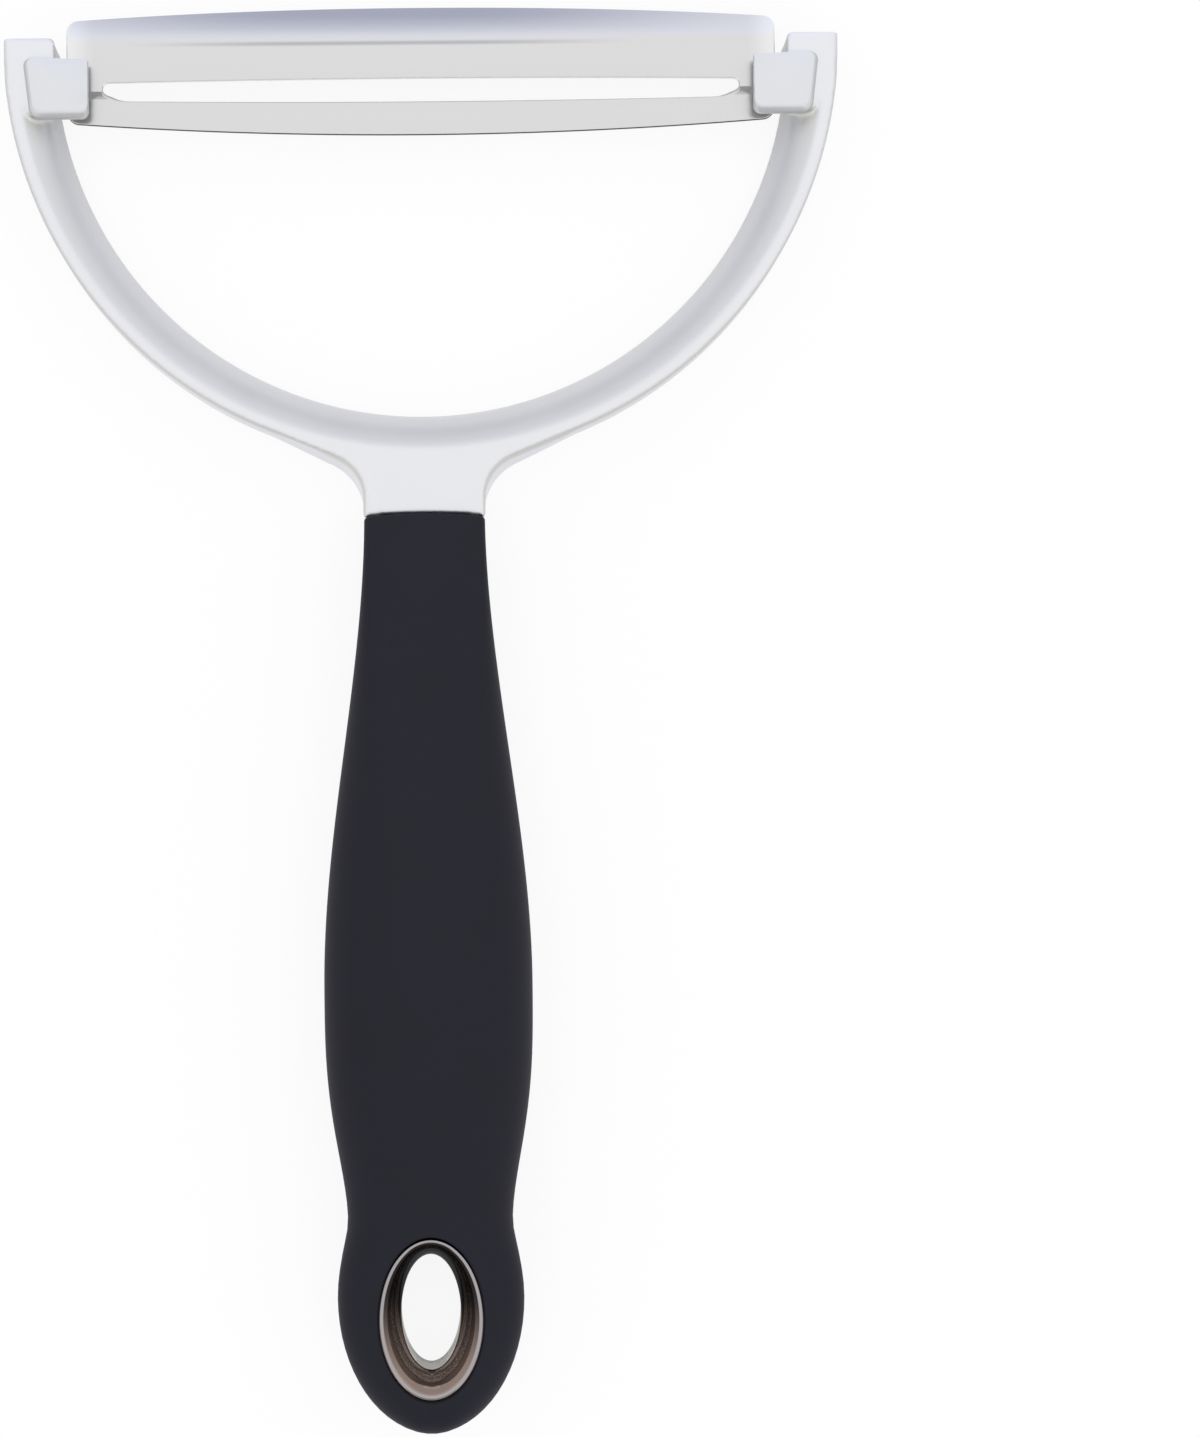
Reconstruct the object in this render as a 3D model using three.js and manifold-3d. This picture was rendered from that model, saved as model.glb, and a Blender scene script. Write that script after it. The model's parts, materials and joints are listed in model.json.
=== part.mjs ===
import * as THREE from 'three';
import { RoundedBoxGeometry } from 'three/addons/geometries/RoundedBoxGeometry.js';
import { mergeVertices } from 'three/addons/utils/BufferGeometryUtils.js';
import Module from 'manifold-3d';

// A y-peeler with an extra-wide swivel blade, in millimetres, lying on its back.
// X runs along the blade, Y from the handle to the blade, Z out of the front face.
// While the pieces are made, Y = 0 is the handle's upper end, where the metal neck goes in.

// Clearances
const FIT_GAP = 0.3;
const PIN_GAP = 0.1;
const END_PLAY = 0.25;

// Blade: a strip of stainless sheet with a slot along its pivot line
const BLADE_LENGTH = 104.6;
const SHEET = 0.8;
const EDGE_ABOVE_PIVOT = 12.7;
const EDGE_BELOW_PIVOT = 6.5;
const EDGE_BOW = 1.9;
const BLADE_CORNER = 1.2;
const SLOT_END_LAND = 5.3;
const SLOT_ABOVE_PIVOT = 1.7;
const SLOT_BELOW_PIVOT = 1.55;
const SLOT_BOW = 0.35;
const SLOT_CORNER = 1.1;
const GUIDE_STEP = 0.8;
const GUIDE_STEP_RUN = 1.2;
const GUIDE_STEP_BELOW_PIVOT = 0.45;
const ROLL_HEIGHT = 5.2;
const ROLL_ANGLE = 55;
const CHEEK_WALL = 0.9;

// Trunnions: shouldered pins riveted to the blade's cheeks
const JOURNAL_RADIUS = 1.2;
const JOURNAL_LENGTH = 4.5;
const COLLAR_LEDGE = 0.8;
const RIVET_LEDGE = 0.5;
const RIVET_HEAD = 0.7;
const RIVET_CLEAR = 0.6;

// Yoke: the cast loop with its ears, bosses, neck and tang
const SWIVEL_ANGLE = 15;
const TABLE_GAP = 0.4;
const EAR_GAP = 1.5;
const EAR_LEDGE = 0.7;
const EAR_TRIM = 0.1;
const EAR_ABOVE_BOSS = 3;
const BOSS_COVER = 3.4;
const BOSS_SEAT = 4.6;
const BOSS_ABOVE_PIVOT = 4.6;
const BOSS_BELOW_PIVOT = 4.3;
const BOSS_PLATE = 2;
const BOSS_PROUD = 0.8;
const BOSS_ROUND = 0.6;
const BAND_SLOPE = 5.2;
const BAND_FACE = 1.7;
const LOOP_CENTRE_ABOVE_PIVOT = 6.7;
const CAST_DRAFT = 0.6;
const NECK_PROUD = 0.1;
const NECK_LENGTH = 8.1;
const NECK_FILLET = 9.5;
const NECK_RAMP = 6;
const NECK_RISE = 1.2;
const TANG_LENGTH = 72;
const TANG_HOLE_RADIUS = 2.4;
const TANG_HOLES = 2;

// Handle: a soft grip over a hard core, with a swelling belly, a waist and a round end.
// A lift is how far a section's back stands above the table.
// Squareness 2 is an oval section, and more is boxier.
// Lateness above 1 holds on to the section above for longer.
const TOP_WIDTH = 17.75;
const TOP_PROUD_FRONT = 1.4;
const TOP_PROUD_BACK = 0.6;
const TOP_SQUARENESS = 4.5;
const BELLY_BELOW_TOP = 69.3;
const BELLY_WIDTH = 30.6;
const BELLY_THICKNESS = 19;
const BELLY_SQUARENESS = 2.3;
const BELLY_LATENESS = 0.98;
const WAIST_BELOW_BELLY = 34.6;
const WAIST_WIDTH = 24.2;
const WAIST_THICKNESS = 15;
const WAIST_LIFT = 1.4;
const WAIST_SQUARENESS = 2.5;
const WAIST_LATENESS = 1.65;
const BULB_BELOW_WAIST = 11;
const BULB_WIDTH = 27.4;
const BULB_THICKNESS = 15;
const BULB_LIFT = 1.2;
const BULB_SQUARENESS = 3;
const BULB_LATENESS = 0.75;
const BULB_REACH = 19.85;
const END_SQUARENESS = 4;
const SKIN = 1.8;
const CORE_WALL = 0.8;
const GRIP_LIP = 1.5;

// Eyelet: two oval funnels that meet inside the handle's round end
const EYELET_END_WALL = 5.6;
const THROAT_WIDTH = 8.7;
const THROAT_LENGTH = 17.3;
const EYELET_WALL = 3.25;
const EYELET_SINK = 0.2;
const EYELET_RIM = 0.4;
const RIM_ROUND = 0.2;
const MOUTH_START = 22;
const SPIGOT_LENGTH = 2;
const SPIGOT_WALL = 1.2;

// Facets
const LOOP_SIDES = 120;
const SECTION_SIDES = 32;
const HANDLE_STEPS = 24;
const END_STEPS = 6;
const OVAL_SIDES = 48;
const PIN_SIDES = 24;
const CURVE_STEPS = 8;
const ROUND_STEPS = 2;
const END_ANGLE = 84;
const CORNER_SHARE = 0.45;
const SAME_POINT = 1e-4;
const CUT_PAST = 5;

// Looks
const SATIN_METAL = { color: 0xdcdde2, roughness: 0.42, metalness: 0.9 };
const STAINLESS = { color: 0xcfcfd2, roughness: 0.3, metalness: 1 };
const HARD_PLASTIC = { color: 0x2b2b30, roughness: 0.6, metalness: 0 };
const SOFT_GRIP = { color: 0x2c2c35, roughness: 0.75, metalness: 0 };
const DARK_CHROME = { color: 0x2e2826, roughness: 0.12, metalness: 1 };

// Places along the blade and its ears, from the middle out
const bladeHalf = BLADE_LENGTH / 2;
const earInner = bladeHalf + EAR_GAP;
const openingBack = earInner + EAR_LEDGE;
const openingFront = openingBack + BAND_SLOPE;
const loopRadius = openingFront + BAND_FACE;
const earOuter = loopRadius - EAR_TRIM;
const bossInner = bladeHalf - BOSS_COVER;
const bossOuter = earInner + BOSS_SEAT;

// Depths, from the table up. The pivot's cheeks clear the table, the guide strip clears the rivets,
// and the cutting strip just clears the back of the bosses at the end of its swing.
const boreRadius = JOURNAL_RADIUS + PIN_GAP;
const cheekRadius = boreRadius + CHEEK_WALL;
const rivetRadius = JOURNAL_RADIUS + RIVET_LEDGE;
const pivotZ = cheekRadius + TABLE_GAP;
const bladeFront = rivetRadius + RIVET_CLEAR + SHEET + GUIDE_STEP;
const stepTop = GUIDE_STEP_RUN / 2 - GUIDE_STEP_BELOW_PIVOT;
const stepFoot = stepTop - GUIDE_STEP_RUN;
const swing = THREE.MathUtils.degToRad(SWIVEL_ANGLE);
const bossBack = pivotZ + (bladeFront + BOSS_ABOVE_PIVOT * Math.sin(swing)) / Math.cos(swing) + FIT_GAP;
const bossFront = bossBack + BOSS_PLATE;
const frameDepth = bossFront - BOSS_PROUD;
const topLift = NECK_RISE - TOP_PROUD_BACK;
const topThickness = frameDepth + TOP_PROUD_FRONT - topLift;
const tangMiddle = topLift + topThickness / 2;
const eyeletFront = BULB_LIFT + BULB_THICKNESS - EYELET_SINK;
const eyeletBack = BULB_LIFT + EYELET_SINK;
const eyeletMiddle = (eyeletFront + eyeletBack) / 2;

// Places along the handle and up to the blade
const neckFoot = FIT_GAP;
const loopY = NECK_LENGTH + loopRadius;
const pivotY = loopY - LOOP_CENTRE_ABOVE_PIVOT;
const earTop = pivotY + BOSS_ABOVE_PIVOT + EAR_ABOVE_BOSS;
const waistAt = BELLY_BELOW_TOP + WAIST_BELOW_BELLY;
const bulbAt = waistAt + BULB_BELOW_WAIST;
const handleLength = bulbAt + BULB_REACH;
const eyeletY = EYELET_END_WALL + EYELET_WALL + THROAT_LENGTH / 2 - handleLength;

// The neck and the tang, from the section that the handle leaves for them at its top
const neckHalf = TOP_WIDTH / 2 + NECK_PROUD;
const aroundTang = SKIN + CORE_WALL + FIT_GAP;
const tangHalfWidth = TOP_WIDTH / 2 - aroundTang;
const tangHalfThickness = topThickness / 2 - aroundTang;

const wasm = await Module();
wasm.setup();

// A closed geometry as a solid that can be joined and cut
function solid(geometry) {
  const bare = geometry.clone();
  bare.deleteAttribute('normal');
  bare.deleteAttribute('uv');
  const merged = mergeVertices(bare, SAME_POINT);
  const vertProperties = new Float32Array(merged.attributes.position.array);
  const triVerts = new Uint32Array(merged.index.array);
  return new wasm.Manifold(new wasm.Mesh({ numProp: 3, vertProperties, triVerts }));
}

// A named mesh of a solid
function piece(name, body, look) {
  const { vertProperties, triVerts } = body.getMesh();
  const geometry = new THREE.BufferGeometry();
  geometry.setAttribute('position', new THREE.BufferAttribute(vertProperties, 3));
  geometry.setIndex(new THREE.BufferAttribute(triVerts, 1));
  geometry.computeVertexNormals();
  const mesh = new THREE.Mesh(geometry, new THREE.MeshStandardMaterial(look));
  mesh.name = name;
  return mesh;
}

// A box from its low to its high place along each axis, with round edges if a radius is given
function block([x0, x1], [y0, y1], [z0, z1], round = 0) {
  const size = [x1 - x0, y1 - y0, z1 - z0];
  const geometry = round > 0
    ? new RoundedBoxGeometry(...size, ROUND_STEPS, round)
    : new THREE.BoxGeometry(...size);
  return solid(geometry.translate((x0 + x1) / 2, (y0 + y1) / 2, (z0 + z1) / 2));
}

// An outline in (Y, Z), drawn out along X
function alongX(shape, from, to) {
  const options = { depth: to - from, bevelEnabled: false, curveSegments: CURVE_STEPS };
  const geometry = new THREE.ExtrudeGeometry(shape, options);
  const axes = [new THREE.Vector3(0, 1, 0), new THREE.Vector3(0, 0, 1), new THREE.Vector3(1, 0, 0)];
  return solid(geometry.applyMatrix4(new THREE.Matrix4().makeBasis(...axes)).translate(from, 0, 0));
}

// An outline in (X, Y), drawn out along Z
function alongZ(shape, from, to, curveSegments = CURVE_STEPS) {
  const options = { depth: to - from, bevelEnabled: false, curveSegments };
  return solid(new THREE.ExtrudeGeometry(shape, options).translate(0, 0, from));
}

// A profile of (radius, z), turned about an upright line at a place along Y
function turnedUpright(profile, y) {
  const geometry = new THREE.LatheGeometry(profile, LOOP_SIDES).rotateX(Math.PI / 2);
  return solid(geometry.translate(0, y, 0));
}

// A profile of (radius, x), turned about the X axis
function turnedAlongX(profile) {
  return solid(new THREE.LatheGeometry(profile, PIN_SIDES).rotateZ(-Math.PI / 2));
}

// Triangles that cover a flat outline, wound the way its points run
function cover(outline) {
  const wound = Math.sign(THREE.ShapeUtils.area(outline));
  return THREE.ShapeUtils.triangulateShape(outline, []).map(([a, b, c]) => {
    const area = THREE.ShapeUtils.area([outline[a], outline[b], outline[c]]);
    return Math.sign(area) === wound ? [a, b, c] : [a, c, b];
  });
}

// Rings of points joined into a skin: a closed hoop, or a bar whose flat ends are covered.
// To cover an end, its ring is flattened to two coordinates.
function loft(rings, flatten = null) {
  const sides = rings[0].length;
  const spans = flatten ? rings.length - 1 : rings.length;
  const index = [];
  for (let span = 0; span < spans; span += 1) {
    const here = span * sides;
    const next = ((span + 1) % rings.length) * sides;
    for (let side = 0; side < sides; side += 1) {
      const beside = (side + 1) % sides;
      index.push(here + side, here + beside, next + beside);
      index.push(here + side, next + beside, next + side);
    }
  }
  if (flatten) {
    const last = spans * sides;
    for (const [a, b, c] of cover(rings[0].map(flatten))) {
      index.push(a, c, b);
    }
    for (const [a, b, c] of cover(rings.at(-1).map(flatten))) {
      index.push(last + a, last + b, last + c);
    }
  }
  return solid(new THREE.BufferGeometry().setFromPoints(rings.flat()).setIndex(index));
}

// A rounded slope as points (distance out, z):
// plumb at its low end, leaning over to an angle at its high end
function roundedSlope(width, low, high, startAngle) {
  const start = THREE.MathUtils.degToRad(startAngle);
  const points = [];
  for (let step = 0; step <= CURVE_STEPS; step += 1) {
    const angle = THREE.MathUtils.lerp(Math.PI / 2, start, step / CURVE_STEPS);
    const out = (1 - Math.sin(angle)) / (1 - Math.sin(start));
    const along = Math.cos(angle) / Math.cos(start);
    points.push(new THREE.Vector2(width * out, THREE.MathUtils.lerp(low, high, along)));
  }
  return points;
}

// A long strip's outline about the pivot line: bowed long edges and round corners that fit its ends
function bowedStrip(length, above, below, bow, radius) {
  const end = length / 2;
  const high = above - bow;
  const low = bow - below;
  const corner = Math.min(radius, CORNER_SHARE * (high - low));
  const shape = new THREE.Shape();
  shape.moveTo(corner - end, low);
  shape.quadraticCurveTo(0, -below - bow, end - corner, low);
  shape.quadraticCurveTo(end, low, end, low + corner);
  shape.lineTo(end, high - corner);
  shape.quadraticCurveTo(end, high, end - corner, high);
  shape.quadraticCurveTo(0, above + bow, corner - end, high);
  shape.quadraticCurveTo(-end, high, -end, high - corner);
  shape.lineTo(-end, low + corner);
  shape.quadraticCurveTo(-end, low, corner - end, low);
  return shape;
}

// The blade's section in (Y, Z) from the pivot line: the guide strip below the slot is stepped back,
// and the cutting strip above it rolls away to the back.
function bladeSection() {
  const back = bladeFront - SHEET;
  const foot = -EDGE_BELOW_PIVOT - SHEET;
  const square = Math.PI / 2;
  const roll = THREE.MathUtils.degToRad(ROLL_ANGLE);
  const radius = ROLL_HEIGHT / Math.sin(roll);
  const rollStart = EDGE_ABOVE_PIVOT - ROLL_HEIGHT;
  const rolled = (square - roll) / 2;
  const shape = new THREE.Shape();
  shape.moveTo(foot, back - GUIDE_STEP);
  shape.lineTo(stepFoot, back - GUIDE_STEP);
  shape.lineTo(stepTop, back);
  shape.lineTo(rollStart, back);
  shape.absarc(rollStart, bladeFront - radius, radius - SHEET, square, rolled, true);
  shape.absarc(rollStart, bladeFront - radius, radius, rolled, square, false);
  shape.lineTo(stepTop, bladeFront);
  shape.lineTo(stepFoot, bladeFront - GUIDE_STEP);
  shape.lineTo(foot, bladeFront - GUIDE_STEP);
  return shape;
}

// A cheek's outline in (Y, Z): round about the pivot hole, and reaching into the sheet in front
function cheekOutline() {
  const upper = bladeFront - SHEET / 2;
  const lower = upper - GUIDE_STEP;
  const shape = new THREE.Shape();
  shape.moveTo(-cheekRadius, lower);
  shape.absarc(0, 0, cheekRadius, Math.PI, 2 * Math.PI);
  shape.lineTo(cheekRadius, upper);
  shape.lineTo(stepTop, upper);
  shape.lineTo(stepFoot, lower);
  shape.holes.push(new THREE.Path().absarc(0, 0, boreRadius, 0, 2 * Math.PI));
  return shape;
}

// The blade about its pivot line: the rolled section cut to its outline, slotted, with a cheek at each end
function makeBlade() {
  const slotLength = BLADE_LENGTH - 2 * SLOT_END_LAND;
  const outline = bowedStrip(BLADE_LENGTH, EDGE_ABOVE_PIVOT, EDGE_BELOW_PIVOT, EDGE_BOW, BLADE_CORNER);
  const slot = bowedStrip(slotLength, SLOT_ABOVE_PIVOT, SLOT_BELOW_PIVOT, SLOT_BOW, SLOT_CORNER);
  const deep = bladeFront + CUT_PAST;
  const strip = alongX(bladeSection(), -bladeHalf - CUT_PAST, bladeHalf + CUT_PAST)
    .intersect(alongZ(outline, -deep, deep))
    .subtract(alongZ(slot, -deep, deep));
  return strip
    .add(alongX(cheekOutline(), bladeHalf - SHEET, bladeHalf))
    .add(alongX(cheekOutline(), -bladeHalf, SHEET - bladeHalf));
}

// The right trunnion about its own axis: rivet head, shank through the cheek, collar and journal
function makeTrunnion() {
  const collar = JOURNAL_RADIUS + COLLAR_LEDGE;
  const headEnd = bladeHalf - SHEET - PIN_GAP;
  const collarStart = bladeHalf + PIN_GAP;
  const collarEnd = earInner - END_PLAY;
  const tip = earInner + JOURNAL_LENGTH;
  return turnedAlongX([
    new THREE.Vector2(0, headEnd - RIVET_HEAD),
    new THREE.Vector2(rivetRadius, headEnd - RIVET_HEAD),
    new THREE.Vector2(rivetRadius, headEnd),
    new THREE.Vector2(JOURNAL_RADIUS, headEnd),
    new THREE.Vector2(JOURNAL_RADIUS, collarStart),
    new THREE.Vector2(collar, collarStart),
    new THREE.Vector2(collar, collarEnd),
    new THREE.Vector2(JOURNAL_RADIUS, collarEnd),
    new THREE.Vector2(JOURNAL_RADIUS, tip),
    new THREE.Vector2(0, tip),
  ]);
}

// The disc that the loop is cut from, with draft on its outer wall
function loopDisc() {
  return turnedUpright([
    new THREE.Vector2(0, 0),
    new THREE.Vector2(loopRadius + CAST_DRAFT, 0),
    new THREE.Vector2(loopRadius, frameDepth),
    new THREE.Vector2(0, frameDepth),
  ], loopY);
}

// What is cut from the disc to leave the loop: its wall slopes all the way from the back to the front face
function loopOpening() {
  return turnedUpright([
    new THREE.Vector2(0, -CUT_PAST),
    new THREE.Vector2(openingBack, -CUT_PAST),
    new THREE.Vector2(openingBack, 0),
    new THREE.Vector2(openingFront, frameDepth),
    new THREE.Vector2(openingFront, frameDepth + CUT_PAST),
    new THREE.Vector2(0, frameDepth + CUT_PAST),
  ], loopY);
}

// The neck's outline at one depth: down a tangent from the loop, round a fillet and square to the handle.
// The fillet stays small enough to leave room for that tangent.
function neckRing(draft, z) {
  const drop = loopY - neckFoot;
  const roomiest = (neckHalf ** 2 + drop ** 2 - loopRadius ** 2) / (2 * (loopRadius - neckHalf));
  const fillet = Math.min(NECK_FILLET, roomiest);
  const filletX = neckHalf + fillet;
  const apart = Math.max(Math.hypot(filletX, drop), loopRadius + fillet);
  const tangent = Math.acos((loopRadius + fillet) / apart) - Math.atan2(drop, filletX);
  const reach = loopRadius + draft;
  const side = [new THREE.Vector3(reach * Math.cos(tangent), loopY + reach * Math.sin(tangent), z)];
  for (let step = 0; step <= CURVE_STEPS; step += 1) {
    const angle = THREE.MathUtils.lerp(tangent + Math.PI, Math.PI, step / CURVE_STEPS);
    const x = filletX + (fillet - draft) * Math.cos(angle);
    side.push(new THREE.Vector3(x, neckFoot + (fillet - draft) * Math.sin(angle), z));
  }
  const otherSide = side.map(({ x, y }) => new THREE.Vector3(-x, y, z));
  return [...otherSide, ...side.reverse()];
}

// The cut that lifts the neck's back up to the handle's back
function neckRamp() {
  const shape = new THREE.Shape();
  shape.moveTo(-CUT_PAST, -CUT_PAST);
  shape.lineTo(neckFoot + NECK_RAMP, -CUT_PAST);
  shape.lineTo(neckFoot + NECK_RAMP, 0);
  shape.lineTo(neckFoot, NECK_RISE);
  shape.lineTo(-CUT_PAST, NECK_RISE);
  return alongX(shape, -earOuter, earOuter);
}

// The tang, or the room that it needs: a flat bar from the neck into the handle
function tangBar(gap) {
  const half = tangHalfWidth + gap;
  const thick = tangHalfThickness + gap;
  return block([-half, half], [-TANG_LENGTH - gap, NECK_RAMP], [tangMiddle - thick, tangMiddle + thick]);
}

// The round bars that fill the tang's holes, less a gap
function tangPegs(gap) {
  const thick = tangHalfThickness + FIT_GAP + gap;
  const pitch = TANG_LENGTH / (TANG_HOLES + 1);
  let pegs = null;
  for (let hole = 1; hole <= TANG_HOLES; hole += 1) {
    const shape = new THREE.Shape();
    shape.absarc(0, -hole * pitch, TANG_HOLE_RADIUS - gap, 0, 2 * Math.PI);
    const peg = alongZ(shape, tangMiddle - thick, tangMiddle + thick);
    pegs = pegs ? pegs.add(peg) : peg;
  }
  return pegs;
}

// One ear: the block at the loop's end, the pillar that holds the pivot, and the boss over the blade's end
function makeEar(side) {
  const across = (from, to) => (side > 0 ? [from, to] : [-to, -from]);
  const bossY = [pivotY - BOSS_BELOW_PIVOT, pivotY + BOSS_ABOVE_PIVOT];
  const head = block(across(earInner, earOuter), [bossY[1], earTop], [0, frameDepth]);
  const pillar = block(across(earInner, bossOuter), bossY, [0, frameDepth]);
  const boss = block(across(bossInner, bossOuter), bossY, [bossBack, bossFront], BOSS_ROUND);
  return head.add(pillar).add(boss);
}

// The blind bores that the trunnions turn in
function makeBore(side) {
  const shape = new THREE.Shape();
  shape.absarc(pivotY, pivotZ, boreRadius, 0, 2 * Math.PI);
  const ends = [side * (earInner - EAR_GAP), side * (earInner + JOURNAL_LENGTH + END_PLAY)];
  return alongX(shape, Math.min(...ends), Math.max(...ends));
}

// The casting: loop, ears, neck and tang
function makeYoke() {
  const neckRings = [neckRing(CAST_DRAFT, 0), neckRing(0, frameDepth)];
  const neck = loft(neckRings, ({ x, y }) => new THREE.Vector2(x, y));
  const room = block([-earOuter, earOuter], [-CUT_PAST, earTop], [-CUT_PAST, frameDepth + CUT_PAST]);
  const loop = loopDisc().add(neck).subtract(loopOpening()).intersect(room).subtract(neckRamp());
  return loop
    .add(tangBar(0).subtract(tangPegs(0)))
    .add(makeEar(1))
    .add(makeEar(-1))
    .subtract(makeBore(1))
    .subtract(makeBore(-1));
}

// The places where the handle's section is set, from the top down
const handleStations = [
  {
    at: 0,
    width: TOP_WIDTH,
    thickness: topThickness,
    lift: topLift,
    squareness: TOP_SQUARENESS,
  },
  {
    at: BELLY_BELOW_TOP,
    width: BELLY_WIDTH,
    thickness: BELLY_THICKNESS,
    lift: 0,
    squareness: BELLY_SQUARENESS,
    lateness: BELLY_LATENESS,
  },
  {
    at: waistAt,
    width: WAIST_WIDTH,
    thickness: WAIST_THICKNESS,
    lift: WAIST_LIFT,
    squareness: WAIST_SQUARENESS,
    lateness: WAIST_LATENESS,
  },
  {
    at: bulbAt,
    width: BULB_WIDTH,
    thickness: BULB_THICKNESS,
    lift: BULB_LIFT,
    squareness: BULB_SQUARENESS,
    lateness: BULB_LATENESS,
  },
];

// The handle's section at a distance from its top, eased from one station to the next
function handleSection(at) {
  const below = Math.max(1, handleStations.findIndex((station) => station.at >= at));
  const from = handleStations[below - 1];
  const to = handleStations[below];
  const share = ((at - from.at) / (to.at - from.at)) ** to.lateness;
  const eased = THREE.MathUtils.smoothstep(share, 0, 1);
  const between = (key) => THREE.MathUtils.lerp(from[key], to[key], eased);
  return {
    halfWidth: between('width') / 2,
    halfThickness: between('thickness') / 2,
    middle: between('lift') + between('thickness') / 2,
    squareness: between('squareness'),
  };
}

// A ring of points round a section: a superellipse across the handle
function sectionRing(y, { halfWidth, halfThickness, middle, squareness }) {
  const ring = [];
  const bulge = (value) => Math.sign(value) * Math.abs(value) ** (2 / squareness);
  for (let side = 0; side < SECTION_SIDES; side += 1) {
    const angle = (2 * Math.PI * side) / SECTION_SIDES;
    const x = halfWidth * bulge(Math.cos(angle));
    ring.push(new THREE.Vector3(x, y, middle + halfThickness * bulge(Math.sin(angle))));
  }
  return ring;
}

// The handle's shape drawn in by an inset, from a distance below its top to its round end
function handleBody(inset, from) {
  const endAngle = THREE.MathUtils.degToRad(END_ANGLE);
  const rings = [];
  const drawnIn = (section, narrow, thin) => ({
    ...section,
    halfWidth: narrow * (section.halfWidth - inset),
    halfThickness: thin * (section.halfThickness - inset),
  });
  for (let step = 0; step <= HANDLE_STEPS; step += 1) {
    const at = THREE.MathUtils.lerp(from, bulbAt, step / HANDLE_STEPS);
    rings.push(sectionRing(-at, drawnIn(handleSection(at), 1, 1)));
  }
  for (let step = 1; step <= END_STEPS; step += 1) {
    const angle = (endAngle * step) / END_STEPS;
    const reach = ((BULB_REACH - inset) * Math.sin(angle)) / Math.sin(endAngle);
    const thin = (1 - Math.sin(angle) ** END_SQUARENESS) ** (1 / END_SQUARENESS);
    rings.push(sectionRing(-bulbAt - reach, drawnIn(handleSection(bulbAt), Math.cos(angle), thin)));
  }
  return loft(rings, ({ x, z }) => new THREE.Vector2(x, z));
}

// The oval hole through the handle that the eyelet sits in
function eyeletHole() {
  const out = EYELET_WALL + FIT_GAP;
  const shape = new THREE.Shape();
  shape.absellipse(0, eyeletY, THROAT_WIDTH / 2 + out, THROAT_LENGTH / 2 + out, 0, 2 * Math.PI);
  return alongZ(shape, -CUT_PAST, BELLY_THICKNESS + CUT_PAST, OVAL_SIDES / 2);
}

// The hard core: moulded round the tang, with pegs through its holes
function makeCore() {
  const tangRoom = tangBar(FIT_GAP).subtract(tangPegs(FIT_GAP));
  return handleBody(SKIN, GRIP_LIP).subtract(tangRoom).subtract(eyeletHole());
}

// The soft grip: a skin over the core, closed to the tang at its upper end
function makeGrip() {
  const coreRoom = handleBody(SKIN - FIT_GAP, GRIP_LIP - FIT_GAP);
  return handleBody(0, 0).subtract(coreRoom).subtract(tangBar(FIT_GAP)).subtract(eyeletHole());
}

// An oval hoop from a profile of (distance out from the throat, z)
function ovalHoop(profile) {
  return loft(profile.map(({ x: out, y: z }) => {
    const ring = [];
    for (let side = 0; side < OVAL_SIDES; side += 1) {
      const angle = (2 * Math.PI * side) / OVAL_SIDES;
      const x = (THROAT_WIDTH / 2 + out) * Math.cos(angle);
      ring.push(new THREE.Vector3(x, eyeletY + (THROAT_LENGTH / 2 + out) * Math.sin(angle), z));
    }
    return ring;
  }));
}

// A funnel's mouth, from its throat out to the rim
function funnelMouth(throat, rim) {
  return roundedSlope(EYELET_WALL - RIM_ROUND - EYELET_RIM, throat, rim, MOUTH_START);
}

// The front funnel, with the spigot that plugs into the rear one
function makeEyeletFront() {
  return ovalHoop([
    new THREE.Vector2(EYELET_WALL, eyeletMiddle),
    new THREE.Vector2(EYELET_WALL, eyeletFront - RIM_ROUND),
    new THREE.Vector2(EYELET_WALL - RIM_ROUND, eyeletFront),
    ...funnelMouth(eyeletMiddle, eyeletFront).reverse(),
    new THREE.Vector2(0, eyeletMiddle - SPIGOT_LENGTH),
    new THREE.Vector2(SPIGOT_WALL, eyeletMiddle - SPIGOT_LENGTH),
    new THREE.Vector2(SPIGOT_WALL, eyeletMiddle),
  ]);
}

// The rear funnel, with the socket for that spigot
function makeEyeletRear() {
  const top = eyeletMiddle - FIT_GAP;
  const socketFloor = eyeletMiddle - SPIGOT_LENGTH - FIT_GAP;
  const socketWall = SPIGOT_WALL + FIT_GAP;
  return ovalHoop([
    new THREE.Vector2(EYELET_WALL - RIM_ROUND, eyeletBack),
    new THREE.Vector2(EYELET_WALL, eyeletBack + RIM_ROUND),
    new THREE.Vector2(EYELET_WALL, top),
    new THREE.Vector2(socketWall, top),
    new THREE.Vector2(socketWall, socketFloor),
    ...funnelMouth(socketFloor, eyeletBack),
  ]);
}

// The blade and its trunnions turn together about the pivot line
const swivel = new THREE.Group();
swivel.position.set(0, pivotY, pivotZ);
const rightTrunnion = piece('right_trunnion', makeTrunnion(), STAINLESS);
const leftTrunnion = piece('left_trunnion', makeTrunnion(), STAINLESS);
leftTrunnion.rotation.z = Math.PI;
swivel.add(piece('blade', makeBlade(), STAINLESS), leftTrunnion, rightTrunnion);

// The whole peeler, with its origin on the table below its middle
const peeler = new THREE.Group();
peeler.position.y = (handleLength - pivotY - EDGE_ABOVE_PIVOT) / 2;
peeler.add(
  swivel,
  piece('yoke_frame', makeYoke(), SATIN_METAL),
  piece('handle_core', makeCore(), HARD_PLASTIC),
  piece('grip_sleeve', makeGrip(), SOFT_GRIP),
  piece('eyelet_front', makeEyeletFront(), DARK_CHROME),
  piece('eyelet_rear', makeEyeletRear(), DARK_CHROME),
);

export default peeler;
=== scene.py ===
import json
import math

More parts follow.
